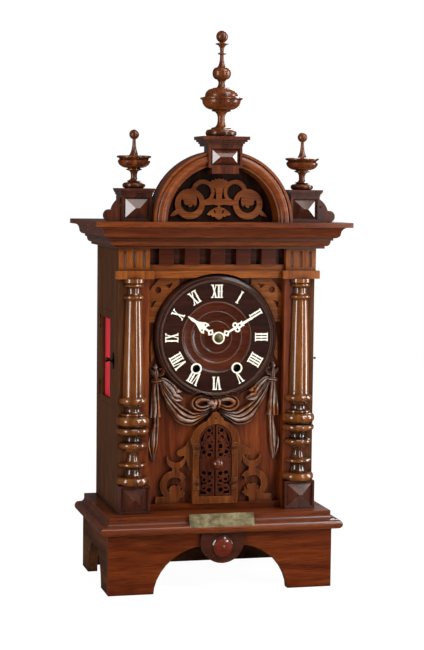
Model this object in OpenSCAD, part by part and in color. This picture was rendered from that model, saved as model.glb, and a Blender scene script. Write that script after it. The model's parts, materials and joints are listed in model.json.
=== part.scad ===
// Mantel clock with a trumpeter behind a pair of small doors, in carved and turned walnut.
// Millimetres. +Z is up, +X is to the right seen from the front, and the back is flush at +Y.
// The origin is the centre of the bounding box on the surface that the clock stands on.
// Every "_d" value is a distance ahead of the flush back, so a plane's Y is fy(its _d value).

/* [Overall] */
// Height from the feet to the top of the middle finial
total_h = 900; // [896:1:904]
// Depth from the flush back to the front of the base moulding
overall_d = 249.2; // [248.6:0.2:249.8]

/* [Base] */
// Half width over the side aprons
apron_hw = 185.6; // [185:0.2:186.2]
// Front of the apron, ahead of the back
apron_d = 234.2; // [233.6:0.2:234.8]
// Height of the apron boards
apron_h = 97; // [96:0.5:98]
// Thickness of the apron boards
apron_t = 16; // [14:1:18]
// Half width of the front arch between the feet
arch_hw = 111.8; // [108:0.5:114]
// Height of the front arch
arch_h = 75.2; // [72:0.5:77]
// Half width of the upper face of the base moulding
plinth_hw = 184; // [183.5:0.1:184.5]
// Height of the base moulding
plinth_h = 28.5; // [28:0.5:29]
// How far the rounded edge stands out from the upper face
bull_out = 16.5; // [16:0.1:17]

/* [Case] */
// Half width of the case
case_hw = 163.7; // [163:0.1:164.2]
// Front of the side panels and of the pilaster boards behind the columns
side_d = 190.5; // [190:0.1:191]
// Thickness of the side panels
side_t = 12; // [10:0.5:13]
// Front face of the board behind the dial
board_d = 171; // [170:0.5:172]
// Thickness of that board
board_t = 12; // [10:1:13]
// Height where the cornice starts
cornice_z = 553; // [552:0.5:554]
// Height of the cornice
cornice_h = 42.7; // [42:0.1:43]
// Overhang of the cornice beyond the case side
cornice_out = 46.7; // [46:0.1:47]
// Distance of the column axes from the middle
column_x = 138.9; // [138:0.1:140]

/* [Crest] */
// Outer radius of the arched hood
hood_r = 113.7; // [113:0.1:114]
// Inner radius of the arched hood
hood_in_r = 91.3; // [91:0.1:92]
// Front of the hood, ahead of the back
hood_d = 229; // [228:0.5:230]
// Depth of the hood moulding
hood_t = 41; // [40:0.5:42]

/* [Dial] */
// Height of the hands' axis
dial_z = 408; // [407:0.5:409]
// Radius of the turned dial frame
dial_r = 103.4; // [102.5:0.1:104]
// Outer radius of the dial's outer bead
ring_r = 92.4; // [92:0.1:92.6]
// Height of the bone numerals
numeral_h = 21.5; // [20:0.5:23]
// Time shown: hours
show_h = 10; // [1:1:12]
// Time shown: minutes
show_m = 10; // [10:5:15]

/* [Little doors] */
// Half width of the doorway between the frame's stiles
way_hw = 28.2; // [27.5:0.1:28.6]
// Height where the doorway's round head springs
way_spring_z = 238; // [236:1:240]
// Front of the door frame, ahead of the back
frame_d = 188; // [187:0.5:189]

/* [Side doors] */
// Lower edge of a side door
sdoor_z0 = 291; // [290:1:292]
// Upper edge of a side door
sdoor_z1 = 447; // [446:1:448]
// Rear edge of a side door, ahead of the back
sdoor_d0 = 38; // [37:0.5:39]
// Front edge of a side door, ahead of the back
sdoor_d1 = 151; // [150:0.5:152]
// Thickness of a side door
sdoor_t = 8; // [7:0.5:9]

/* [Movement] */
// Teeth of the centre wheel
centre_n = 80; // [80:8:88]
// Teeth of the third wheel
third_n = 72; // [72:6:78]
// Teeth of the escape wheel
escape_n = 30; // [30:1:30]
// Distance of each winding square from the middle
wind_x = 34; // [33.5:0.1:34.5]
// Height of the winding squares
wind_z = 357.5; // [357:0.1:358]
// Length of the pendulum from its pivot to the middle of the bob
pendulum_l = 248; // [240:1:250]

/* [Hidden] */
$fn = 48;

eps = 0.01;
fit_c = 0.05;           // radial clearance of a running fit
back_y = overall_d / 2;
fascia_d = overall_d - bull_out;
plinth_z = apron_h + plinth_h;
cornice_top = cornice_z + cornice_h;
walnut = "saddlebrown";
dark_walnut = "#3a1f16";
light_walnut = "#8a4a1e";
bone = "ivory";
brass = "goldenrod";
iron = "#202020";

function fy(d) = back_y - d;

// Profile helpers. A turned profile is a list of [radius, height] from the bottom up.
// Convex quarter ellipse from (r0, z0) to (r1, z1), swelling outwards
function ovolo(r0, z0, r1, z1, n = 5) =
  [for (i = [0:n]) let (a = 90 * i / n)
    r1 > r0 ? [r0 + (r1 - r0) * sin(a), z1 - (z1 - z0) * cos(a)]
            : [r1 + (r0 - r1) * cos(a), z0 + (z1 - z0) * sin(a)]];
// Concave quarter ellipse between the same two points
function cove(r0, z0, r1, z1, n = 5) =
  [for (i = [0:n]) let (a = 90 * i / n)
    r1 > r0 ? [r1 - (r1 - r0) * cos(a), z0 + (z1 - z0) * sin(a)]
            : [r0 - (r0 - r1) * sin(a), z1 - (z1 - z0) * cos(a)]];
// Half-round bead on radius r0, standing out to r1
function bead(r0, r1, z0, z1, n = 8) =
  [for (i = [0:n]) let (a = 180 * i / n)
    [r0 + (r1 - r0) * sin(a), (z0 + z1) / 2 - (z1 - z0) / 2 * cos(a)]];
// Turned solid of a profile, closed on the axis
module turned(points) {
  last = points[len(points) - 1];
  rotate_extrude($fn = 64) polygon(concat([[0, points[0][1]]], points, [[0, last[1]]]));
}
// Board standing in the XZ plane: the 2D outline is X and Z, its front is d ahead of the back
module upright(d, t) translate([0, fy(d) + t, 0]) rotate([90, 0, 0]) linear_extrude(t) children();
// Box from its low and high corners
module box(a, b) translate(a) cube(b - a);
module both() {
  children();
  mirror([1, 0, 0]) children();
}
// Moulding carried along both sides and the front, with mitred corners.
// The 2D child is the section: X is outwards from the line, Y is up.
module mitred(hw, d, z, reach, inset) {
  y0 = fy(d);
  intersection() {
    translate([0, y0, z]) rotate([90, 0, -90])
      linear_extrude(2 * (hw + reach), center = true) children();
    translate([0, 0, z - 1]) linear_extrude(100) polygon([[-hw - reach, y0 - reach],
      [hw + reach, y0 - reach], [hw - inset, y0 + inset], [-hw + inset, y0 + inset]]);
  }
  both() intersection() {
    translate([hw, back_y, z]) rotate([90, 0, 0]) linear_extrude(back_y - y0 + reach) children();
    translate([0, 0, z - 1]) linear_extrude(100) polygon([[hw + reach, y0 - reach],
      [hw + reach, back_y], [hw - inset, back_y], [hw - inset, y0 + inset]]);
  }
}
// Four-sided pyramid on a face that looks forwards, with a ridge of length w - h
module gem(w, h, rise) {
  r = max(0, (w - h) / 2);
  polyhedron([[-w / 2, 0, -h / 2], [w / 2, 0, -h / 2], [w / 2, 0, h / 2], [-w / 2, 0, h / 2],
      [-r, -rise, 0], [r, -rise, 0]],
    [[0, 1, 2, 3], [1, 0, 4, 5], [2, 1, 5], [3, 2, 5, 4], [0, 3, 4]]);
}
// Arch cut between feet: a flattened curve from the floor to a level top
function arch_pts(a, h, flat, n = 9) =
  [for (i = [0:n]) let (t = 90 * i / n, u = pow(sin(t), 1 / 0.9), v = pow(cos(t), 1 / 0.9))
    [flat + (a - flat) * v, h * u]];
module arch_cut(a, h, flat) {
  p = arch_pts(a, h, flat);
  polygon(concat([[a, -1]], p, [for (i = [len(p) - 1:-1:0]) [-p[i][0], p[i][1]]], [[-a, -1]]));
}

// Base
arch_flat = 32;
side_arch_c = 111.5;
side_arch_hw = 60;
side_arch_h = 58;
back_foot_gap = 3;
boss_z = 83.5;
boss_r = 36;
boss_t = 6.5;
dome_z = 75;
dome_r = 17.5;

module front_apron() color(walnut) upright(apron_d, apron_t) difference() {
  translate([-apron_hw, 0]) square([2 * apron_hw, apron_h]);
  arch_cut(arch_hw, arch_h, arch_flat);
}
// Side boards, each on two feet, and the back board between them
module apron_returns() color(dark_walnut) {
  both() translate([apron_hw - apron_t, fy(side_arch_c), 0]) rotate([90, 0, 90])
    linear_extrude(apron_t) difference() {
      translate([-(apron_d - apron_t - side_arch_c), 0])
        square([apron_d - apron_t, apron_h]);
      arch_cut(side_arch_hw, side_arch_h, 18);
    }
  upright(apron_t, apron_t) translate([-(apron_hw - apron_t), back_foot_gap])
    square([2 * (apron_hw - apron_t), apron_h - back_foot_gap]);
}
module apron_boss() color(walnut) {
  upright(apron_d + boss_t, boss_t) intersection() {
    translate([0, boss_z]) circle(boss_r);
    translate([-boss_r, boss_z - boss_r]) square([2 * boss_r, apron_h - boss_z + boss_r]);
  }
  translate([0, fy(apron_d + boss_t), dome_z]) rotate([90, 0, 0])
    turned(concat([[dome_r, -eps]], ovolo(dome_r, 0, 6, 5.2), [[3.4, 5.2]],
      ovolo(3.4, 5.2, 0.6, 7.4, 4)));
}

// Base moulding: rounded edge, hollow and upright face, with the board that it frames
bull_r = 7.6;
plinth_board_t = 14;
module plinth_section() polygon(concat([[-26, 0]],
  bead(bull_out - bull_r, bull_out, 0, 2 * bull_r, 12), cove(6, 2 * bull_r, 0, 2 * bull_r + 6),
  [[0, plinth_h], [-26, plinth_h]]));
module plinth_moulding() color(walnut) {
  difference() {
    mitred(plinth_hw, fascia_d, apron_h, bull_out, 26) plinth_section();
    at_plaque() box([-plaque_w / 2 - 0.2, -12, -0.2], [plaque_w / 2 + 0.2, 0, plaque_l + 4]);
  }
  box([-(plinth_hw - 25), fy(fascia_d - 25), plinth_z - plinth_board_t],
      [plinth_hw - 25, back_y, plinth_z]);
}

// Bare metal plate: its lower end lies on a flat of the rounded edge, and two pins hold it
plaque_w = 107;
plaque_l = 22.5;
plaque_t = 1.2;
plaque_tilt = 27;
module at_plaque() translate([-2, fy(246.9), 107.6]) rotate([-plaque_tilt, 0, 0]) children();
module plaque() color(brass) {
  at_plaque() box([-plaque_w / 2, -plaque_t, 0], [plaque_w / 2, 0, plaque_l]);
  for (x = [-46, 42]) translate([x, fy(fascia_d), plinth_z - 4]) rotate([90, 0, 0])
    cylinder(r = 1.3, h = 7.4);
}

// Case
way_z0 = 147;
board_hole_r = 72;
rail_d = 184;
rail_z = 135.3;
case_back = back_y - 3; // the rear frame is sunk between the side panels
knuckle_r = 2.2;
pin_r = 1.1;
// Upright hinge on an axis along Z: the fixed knuckles, bored for the pin
module fixed_knuckles(h) for (z = [-1.5 * h, 0.5 * h]) translate([0, 0, z + 0.1]) difference() {
  cylinder(r = knuckle_r, h = h - 0.2);
  translate([0, 0, -1]) cylinder(r = pin_r + fit_c, h = h + 2);
}
// The middle knuckle with its pin, which turns with the leaf
module moving_knuckle(h) {
  translate([0, 0, -h / 2 + 0.1]) cylinder(r = knuckle_r, h = h - 0.2);
  translate([0, 0, -1.5 * h]) cylinder(r = pin_r, h = 3 * h);
}
sdoor_y0 = fy(sdoor_d1);
sdoor_y1 = fy(sdoor_d0);
sdoor_gap = 0.5;
sdoor_axis_x = case_hw + 1.2;
sdoor_axis_y = sdoor_y1 + 1.6;
sdoor_hinge_z = [sdoor_z0 + 22, sdoor_z1 - 22];
latch_y = sdoor_y0 - 7;
latch_z = 369;
module side_panels() color(dark_walnut) both() difference() {
  union() {
    difference() {
      box([case_hw - side_t, fy(side_d), plinth_z], [case_hw, case_back, cornice_z]);
      box([case_hw - side_t - 1, sdoor_y0, sdoor_z0], [case_hw + 1, sdoor_y1, sdoor_z1]);
      for (z = sdoor_hinge_z) translate([sdoor_axis_x, sdoor_axis_y, z])
        cylinder(r = knuckle_r + 0.4, h = 27, center = true);
    }
    box([case_hw - side_t, sdoor_y0 - eps, sdoor_z0 - eps],
        [case_hw - sdoor_t - 0.3, sdoor_y0 + 5, sdoor_z1 + eps]);
    for (z = sdoor_hinge_z) translate([sdoor_axis_x, sdoor_axis_y, z]) {
      fixed_knuckles(8);
      for (s = [-1, 1]) box([-2, 1.2, s * 8 - 3.9], [-0.8, 8, s * 8 + 3.9]);
    }
  }
  translate([case_hw - 8, latch_y, latch_z]) rotate([0, 90, 0]) cylinder(r = 1.6 + fit_c, h = 9);
}
// Board behind the dial, with the pilaster boards that the split columns are glued to
pilaster_x = 113;
module front_board() color(walnut) {
  upright(board_d, board_t) difference() {
    translate([-(case_hw - side_t), plinth_z])
      square([2 * (case_hw - side_t), cornice_z - plinth_z]);
    translate([0, dial_z]) circle(board_hole_r);
    translate([-way_hw - 2, way_z0 - 6]) square([2 * way_hw + 4, way_spring_z - way_z0 + 6]);
    translate([0, way_spring_z]) circle(way_hw + 2);
  }
  both() box([pilaster_x, fy(side_d), plinth_z + eps],
    [case_hw - side_t - 0.2, fy(board_d) + 1, plate_z0]);
}
module bottom_rail() color(walnut)
  box([-112.8, fy(rail_d), plinth_z], [112.8, fy(board_d), rail_z]);

// Columns, turned in one piece from capital rings to base torus
col_z0 = 171.4;
col_z1 = 503.4;
column_profile = concat(
  bead(22, 26.5, col_z0, 184.4),
  [[17, 185]], cove(17, 185, 11.4, 196), [[11.4, 198]],
  cove(11.4, 198, 20.5, 202), bead(21, 22.9, 202, 206.6, 4),
  [[13.6, 208]], cove(13.6, 208, 8.4, 220), cove(8.4, 222, 13.8, 226.4), [[13.8, 228.4]],
  bead(17, 23, 230.6, 241),
  [[12.6, 243]], cove(12.6, 243, 12, 250), [[15.6, 252.4]],
  bead(19, 26.4, 253, 265.6), [[24.6, 266.8]], bead(22, 26.9, 268, 282),
  [[20.2, 283]], bead(18.6, 20.4, 283, 287.6, 4),
  cove(16, 288, 12.2, 294), cove(12.2, 294, 16.5, 299), [[16.5, 302]],
  bead(19, 22.9, 302.4, 313), [[17.4, 314.6]],
  [[17.2, 318], [16.6, 360], [15, 410], [13.1, 466]],
  [[13.1, 468]], cove(13.1, 468, 15.6, 471), bead(15, 16.6, 471, 476, 4),
  cove(14, 477, 10.4, 484), [[10.4, 488]], cove(10.4, 488, 14.2, 490.6),
  bead(14.4, 16.2, 490.6, 495, 4), [[14.6, 496], [16.9, 497.6], [16.9, col_z1]]);
// Each column is half a turning, flat behind
module columns() color(light_walnut) both() intersection() {
  translate([column_x, fy(side_d), 0]) turned(column_profile);
  box([column_x - 40, fy(side_d) - 40, col_z0], [column_x + 40, fy(side_d), col_z1]);
}

// Block with a framed face that holds a faceted pyramid
module framed_block(w, h, d0, d1, rim, rise) {
  difference() {
    upright(d1, d1 - d0) translate([-w / 2, 0]) square([w, h]);
    upright(d1 + 1, 3.4) translate([-w / 2 + rim, rim]) square([w - 2 * rim, h - 2 * rim]);
  }
  translate([0, fy(d1 - 2.4) + eps, h / 2])
    gem(w - 2 * rim - 3, h - 2 * rim - 3, rise);
}
module column_pedestals() color(walnut) both()
  translate([(case_hw + pilaster_x) / 2, 0, plinth_z])
    framed_block(case_hw - pilaster_x, col_z0 - plinth_z, side_d, 207.5, 3.4, 8);

// Capital plate and fluted block over each column
plate_z0 = 503.4;
plate_z1 = 516.7;
flute_w = 5;
module capital_blocks() color(walnut) both() {
  box([107.5, fy(201), plate_z0], [169.6, fy(side_d), plate_z1]);
  box([107.5, fy(side_d), plate_z0], [case_hw - side_t - 0.2, fy(board_d), plate_z1]);
  difference() {
    union() {
      box([113.5, fy(196), plate_z1], [164, fy(side_d), cornice_z]);
      box([113.5, fy(side_d), plate_z1], [case_hw - side_t - 0.2, fy(board_d), cornice_z]);
    }
    for (i = [-1:1]) translate([138.7 + 15.5 * i, fy(196), 0]) {
      translate([0, 0, 524]) cylinder(r = flute_w / 2, h = 22, $fn = 24);
      for (z = [524, 546]) translate([0, 0, z]) sphere(r = flute_w / 2, $fn = 24);
    }
  }
}

// Frieze: flat band, upright board and the five blocks glued to it
block_z0 = 526.1;
block_pitch = 42.7;
block_w = 23.6;
module frieze() color(walnut) {
  difference() {
    box([-107.3, fy(190), plate_z0 + 1], [107.3, fy(board_d), plate_z1]);
    at_dial(board_d - 1) cylinder(r = dial_r + 0.3, h = 30);
  }
  box([-113.3, fy(187), plate_z1], [113.3, fy(board_d), block_z0]);
  box([-113.3, fy(178), block_z0], [113.3, fy(board_d), cornice_z]);
  for (i = [-2:2]) box([i * block_pitch - block_w / 2, fy(190), block_z0],
    [i * block_pitch + block_w / 2, fy(178), cornice_z]);
}

// Cornice: fillets, quarter round, hollow-and-round moulding and a square top slab
slab_t = 7.8;
cornice_d = overall_d - 2.2;
module cornice_section() {
  h = cornice_h - slab_t;
  polygon(concat([[-40, 0], [10.2, 0], [10.2, 4.2], [13, 4.2]], ovolo(13, 4.4, 18, 13.4),
    [[21.2, 13.4], [21.2, 17.2]], ovolo(23, 17.2, 31, 25, 4), cove(31, 25, 41, h, 4),
    [[cornice_out, h], [cornice_out, cornice_h], [-40, cornice_h]]));
}
module cornice() color(walnut) {
  mitred(case_hw, cornice_d - cornice_out, cornice_z, cornice_out, 40) cornice_section();
  box([-(case_hw - 39), fy(cornice_d - cornice_out - 39), cornice_top - 12],
      [case_hw - 39, back_y, cornice_top - 0.6]);
  box([-(case_hw - 39), back_y - 12, cornice_z], [case_hw - 39, back_y, cornice_top - 11]);
}

// Crest
key_hw = 27.6;
key_z0 = 681.9;
key_z1 = 716;
key_cap_hw = 38;
key_cap_z = 731.6;
module hood_section() {
  translate([hood_in_r + 2.6, 0]) square([hood_r - hood_in_r - 5, hood_t - 8]);
  translate([hood_r - 4, 0]) square([4, hood_t - 1.5]);
  translate([hood_in_r, 0]) square([3.4, hood_t - 6]);
  translate([(hood_in_r + hood_r) / 2 - 0.4, hood_t - 9]) circle(8.8);
}
module arch_hood() color(walnut) difference() {
  translate([0, fy(hood_d - hood_t), cornice_top]) rotate([90, 0, 0])
    rotate_extrude(angle = 180, $fn = 96) hood_section();
  box([-key_hw - 0.05, fy(hood_d + 5), key_z0 - 12], [key_hw + 0.05, fy(hood_d - hood_t + 7), 740]);
}
tymp_t = 10;
tymp_d = hood_d - hood_t;
module half_disc(r) intersection() {
  circle(r, $fn = 96);
  translate([-r, 0]) square([2 * r, r]);
}
module tympanum_board() color(dark_walnut) upright(tymp_d, tymp_t)
  translate([0, cornice_top]) half_disc(hood_r);
// Pierced ornament: two scroll rings with leaf tongues, arcs that rise from them to a palmette,
// and a small fan below
fret_x = 48.2;
fret_z = 28.2;
fret_r = 24.6;
fret_in_r = 15.4;
module annulus(r1, r0) difference() {
  circle(r1, $fn = 96);
  circle(r0, $fn = 96);
}
module lens(l, w) {
  r = (l * l / 4 + w * w / 4) / w;
  intersection() {
    translate([0, w / 2 - r]) circle(r);
    translate([0, r - w / 2]) circle(r);
  }
}
module fret_half() {
  translate([fret_x, fret_z]) {
    difference() {
      circle(fret_r, $fn = 96);
      translate([-0.4, 1.4]) circle(fret_in_r, $fn = 96);
    }
    polygon([[13.4, 14], [2, 19], [-10, 15.6], [-11.4, 8], [-11, -1], [-8, -3.8], [-5, -0.6],
      [-2.6, -4.8], [1.6, -5.6], [3, -1.2], [6.5, -2.2], [10, 1], [9.4, 4.5], [13, 7.4]]);
    translate([22, -13.4]) rotate(-32) lens(24, 7);
  }
  translate([27, 48]) difference() {
    circle(19.4, $fn = 96);
    translate([-0.6, -0.6]) circle(13.2, $fn = 96);
    translate([-1, -34]) square([40, 33]);
    translate([-30, -34]) square([60, 21.6]);
  }
  polygon([[-eps, 35.4], [12, 37.4], [19, 36.8], [30, 32], [30, 26], [19, 26.4], [8, 27.6], [-eps, 25.6]]);
  // half of the palmette, then half of the fan with its lobes
  polygon([[-eps, 33], [5, 34], [4.6, 42], [6.2, 52], [15, 64], [12.4, 65.8], [11.6, 67.8], [8.4, 66],
    [6.6, 69.4], [3.6, 67.4], [0, 70.4], [-eps, 60]]);
  polygon([[-eps, 27], [2.4, 23], [8.4, 21.4], [15, 17], [20, 12], [16.6, 9.6], [13.2, 10.8],
    [11, 7.4], [6.6, 8.4], [4.6, 5], [0, 2.8], [-eps, 12]]);
}
module tympanum_fret() color(light_walnut) upright(tymp_d + 5, 5) translate([0, cornice_top])
  difference() {
    union() {
      fret_half();
      mirror([1, 0]) fret_half();
    }
    for (s = [-1, 1]) translate([s * 7, 16]) rotate(90 - s * 24) lens(8, 2.6);
  }
module keystone() color(walnut) {
  translate([0, 0, key_z0]) {
    difference() {
      upright(232, 32) translate([-key_hw, 0]) square([2 * key_hw, key_z1 - key_z0]);
      upright(233, 3.6) translate([-key_hw + 3.6, 3.6])
        square([2 * key_hw - 7.2, key_z1 - key_z0 - 7.2]);
    }
    translate([0, fy(229.4) + eps, (key_z1 - key_z0) / 2])
      gem(2 * key_hw - 11, key_z1 - key_z0 - 10, 9);
  }
  translate([0, 0, key_z0 - 9.5]) upright(232, 28) translate([-22, 0]) square([44, 9.5 + eps]);
  // moulded cap: cove between the block and the square slab
  for (s = [[28.6, 232.6, 0, 4], [31, 234.6, 4, 7], [34.5, 237, 7, 10.2],
            [key_cap_hw, 240, 10.2, key_cap_z - key_z1]])
    box([-s[0], fy(s[1]), key_z1 + s[2]], [s[0], fy(174), key_z1 + s[3]]);
}
top_ped_x = 138.9;
top_ped_hw = 24.6;
top_ped_z1 = 638;
top_cap_z = 648;
ear_r = 9.4;
module ear_outline() {
  translate([181.5, cornice_top + ear_r]) circle(ear_r);
  difference() {
    translate([163.5, cornice_top]) square([18, 24]);
    translate([184, cornice_top + 26.5]) circle(13.5);
  }
  translate([171, cornice_top + 26]) rotate(-56) lens(30, 8);
}
module top_pedestals() color(walnut) both() {
  translate([top_ped_x, 0, cornice_top])
    framed_block(2 * top_ped_hw, top_ped_z1 - cornice_top, 165, 213, 4, 10);
  for (s = [[25.4, 214, 0, 3.2], [27, 216, 3.2, 6], [28.4, 218, 6, top_cap_z - top_ped_z1]])
    box([top_ped_x - s[0], fy(s[1]), top_ped_z1 + s[2]],
        [top_ped_x + s[0], fy(160), top_ped_z1 + s[3]]);
  difference() {
    upright(209, 12) ear_outline();
    box([100, -200, 560], [top_ped_x + top_ped_hw, 200, 700]);
  }
}

// Finials
// Ball of radius r whose small top flat is at height top, from angle a0 below the middle
function ball(r, top, a0, n = 11) = [for (i = [0:n]) let (a = a0 + (84 - a0) * i / n)
  [r * cos(a), top + r * (sin(a) - sin(84))]];
fin_z = key_cap_z;
finial_profile = concat(
  bead(21, 24.9, fin_z, fin_z + 11), [[16.3, fin_z + 12], [15.6, fin_z + 14]],
  cove(12, fin_z + 15, 5.8, fin_z + 26), cove(5.8, fin_z + 30, 13, fin_z + 40),
  [[15.8, fin_z + 40.4], [14.6, fin_z + 42.4]],
  ovolo(15, fin_z + 43, 31, fin_z + 58, 6), [[34, fin_z + 60], [34, fin_z + 61.6]],
  [[28, fin_z + 63]], ovolo(26.6, fin_z + 64, 14.4, fin_z + 76.4, 6), [[14, fin_z + 77.4]],
  cove(9, fin_z + 78, 5.2, fin_z + 86), [[5.6, fin_z + 88], [7.6, fin_z + 90.4]],
  ovolo(8, fin_z + 91, 14.9, fin_z + 100.6, 5), ovolo(14.9, fin_z + 100.6, 8.6, fin_z + 110, 5),
  cove(8.6, fin_z + 110, 3.2, fin_z + 127), [[3.2, fin_z + 130], [6.6, fin_z + 131],
    [6.6, fin_z + 132.4], [3.2, fin_z + 133.4], [3.2, fin_z + 138]],
  cove(3.2, fin_z + 138, 10.4, fin_z + 146.4), [[10.4, fin_z + 147.6], [4, fin_z + 149.4]],
  ball(9.6, total_h, -66));
module finial_center() color(light_walnut) translate([0, fy(201), 0]) turned(finial_profile);
side_fin_z = top_cap_z;
side_finial_profile = concat(
  bead(14, 18.4, side_fin_z, side_fin_z + 9), [[9, side_fin_z + 10], [12, side_fin_z + 11.4],
    [9, side_fin_z + 12.6]],
  cove(8, side_fin_z + 13, 4.9, side_fin_z + 18), cove(4.9, side_fin_z + 20, 9, side_fin_z + 28),
  [[12.5, side_fin_z + 29], [12.5, side_fin_z + 30.4], [10, side_fin_z + 31.4]],
  ovolo(10, side_fin_z + 32, 26, side_fin_z + 43.6, 6), [[22.8, side_fin_z + 46.6],
    [27.2, side_fin_z + 48.8], [27.4, side_fin_z + 51], [24, side_fin_z + 51.8],
    [9.8, side_fin_z + 51.6]],
  cove(9.8, side_fin_z + 51.6, 2.6, side_fin_z + 76), ball(7.9, 741, -70));
module side_finials() color(light_walnut) for (x = [-139.6, 139.6])
  translate([x, fy(190), 0]) turned(side_finial_profile);

// Dial
dial_t = 17;
dial_face_d = board_d + dial_t;
pipe_hole_r = 7;
wind_hole_r = 6.6;
collar_r = 9;
module at_dial(d) translate([0, fy(d), dial_z]) rotate([90, 0, 0]) children();
// Notches in the dial's lower edge that the carved bow is let into: [x, z, radius]
bow_notches = [[-28, -106, 16.9], [-13, -102, 8.8], [0, -108, 10.5], [13, -102, 8.8],
  [28, -106, 16.9]];
// Small rounded ridge of height h on a turned face, from (r1, z1) inwards to (r0, z0)
function ridge(r1, z1, r0, z0, h) = [for (i = [0:4]) let (a = 45 * i)
  [(r1 + r0) / 2 + (r1 - r0) / 2 * cos(a), z1 + (z0 - z1) * i / 4 + h * sin(a)]];
// Flat band for the numerals between two beads, then two hollows, each lower than the last
dial_face = concat([[93.2, 20], [92.8, dial_t + 0.2]],
  ridge(ring_r, dial_t, ring_r - 1.5, dial_t, 0.9), ridge(58, dial_t, 56.4, dial_t - 0.4, 0.9),
  ovolo(56, dial_t - 0.6, 42.9, dial_t - 2.2, 4),
  ridge(42.6, dial_t - 2.2, 41.2, dial_t - 2.5, 0.9),
  ovolo(40.8, dial_t - 2.7, 26.7, dial_t - 4, 4),
  ridge(26.4, dial_t - 4, 25.2, dial_t - 4.2, 0.8), ovolo(24.8, dial_t - 4.3, 10, dial_t - 5, 4));
boss_gap = 0.3;
module at_winding() for (s = [-1, 1]) translate([s * wind_x, wind_z - dial_z, 0]) children();
module dial_plate() color(dark_walnut) at_dial(board_d) difference() {
  union() {
    turned(concat([[dial_r, 0], [dial_r, 4]], ovolo(dial_r, 4, 98, 15, 5), [[98, 18.6], [94.6, 20]],
      dial_face));
    at_winding() cylinder(r = collar_r + boss_gap, h = dial_t);
  }
  at_winding() {
    translate([0, 0, dial_t]) cylinder(r = collar_r + boss_gap, h = 4);
    translate([0, 0, -1]) cylinder(r = wind_hole_r, h = 40);
  }
  for (c = bow_notches) translate([c[0], c[1], -1]) cylinder(r = c[2], h = 40);
  translate([0, 0, -1]) cylinder(r = pipe_hole_r, h = 40);
  translate([0, 0, -1]) cylinder(r = 48, h = 9);
}
// Strokes of the numerals, upright about their own middle
thick = 2.5;
thin = 1.3;
serif = 1.5;
pitch = 4.6;
module bar(x0, x1, z) translate([x0, z]) square([x1 - x0, serif]);
module stroke_i(x) translate([x, 0]) {
  translate([-thick / 2, -numeral_h / 2]) square([thick, numeral_h]);
  for (z = [-numeral_h / 2, numeral_h / 2 - serif]) bar(-pitch / 2 - 0.1, pitch / 2 + 0.1, z);
  rotate(45) square(2.9, center = true);
}
module slant(x0, x1, w) polygon([[x0 - w / 2, -numeral_h / 2], [x0 + w / 2, -numeral_h / 2],
  [x1 + w / 2, numeral_h / 2], [x1 - w / 2, numeral_h / 2]]);
module stroke_v(x) translate([x, 0]) {
  slant(0, -3.1, thick);
  slant(0.4, 3.5, thin);
  bar(-5.6, -0.9, numeral_h / 2 - serif);
  bar(1.9, 5.2, numeral_h / 2 - serif);
}
module stroke_x(x) translate([x, 0]) {
  slant(2.9, -2.9, thick);
  slant(-3, 3, thin);
  for (s = [-1, 1]) translate([0, s * (numeral_h - serif) / 2 - serif / 2]) {
    bar(-5.3, s < 0 ? -1.6 : -0.8, 0);
    bar(s < 0 ? 0.8 : 1.6, 5.3, 0);
  }
}
// Each numeral is a row of strokes: 1 for I, 5 for V, 10 for X, with its place across
numerals = [[[1, 0]], [[1, -2.3], [1, 2.3]], [[1, -4.6], [1, 0], [1, 4.6]],
  [[1, -6.9], [1, -2.3], [1, 2.3], [1, 6.9]], [[5, 0]], [[5, -2.8], [1, 4.3]],
  [[5, -5.1], [1, 2], [1, 6.6]], [[5, -7.4], [1, -0.3], [1, 4.3], [1, 8.9]],
  [[1, -5], [10, 2.4]], [[10, 0]], [[10, -2.8], [1, 4.6]], [[10, -5.1], [1, 2.3], [1, 6.9]]];
module numeral(list) for (s = list)
  if (s[0] == 1) stroke_i(s[1]);
  else if (s[0] == 5) stroke_v(s[1]);
  else stroke_x(s[1]);
numeral_r = 75;
mark_t = 1.2;
module dial_marks() color(bone) at_dial(dial_face_d) {
  linear_extrude(mark_t) difference() {
    for (i = [0:11]) rotate(-30 * (i + 1)) translate([0, numeral_r]) numeral(numerals[i]);
    at_winding() circle(collar_r - 0.6);
  }
  at_winding() difference() {
    cylinder(r = collar_r, h = 2.4);
    translate([0, 0, -1]) cylinder(r = wind_hole_r, h = 5);
  }
}

// Pierced corner pieces round the upper half of the dial
module spandrel() difference() {
  union() {
    intersection() {
      annulus(133, dial_r + 0.6);
      translate([60, 24]) square([52.5, 72.2]);
    }
    translate([100, -8]) rotate(100) lens(64, 12);
    translate([101.6, -13]) circle(5.6);
    translate([101.5, -22]) rotate(96) lens(18, 6);
  }
  translate([0, -1]) circle(dial_r + 0.6);
  translate([95.4, 76.6]) circle(5.2);
  polygon([[71, 88], [84, 84], [76, 79]]);
  polygon([[97.6, 60], [108, 56], [106, 47]]);
}
module spandrel_frets() color(light_walnut) upright(board_d + 4.5, 4.5) translate([0, dial_z])
  both() spandrel();

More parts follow.
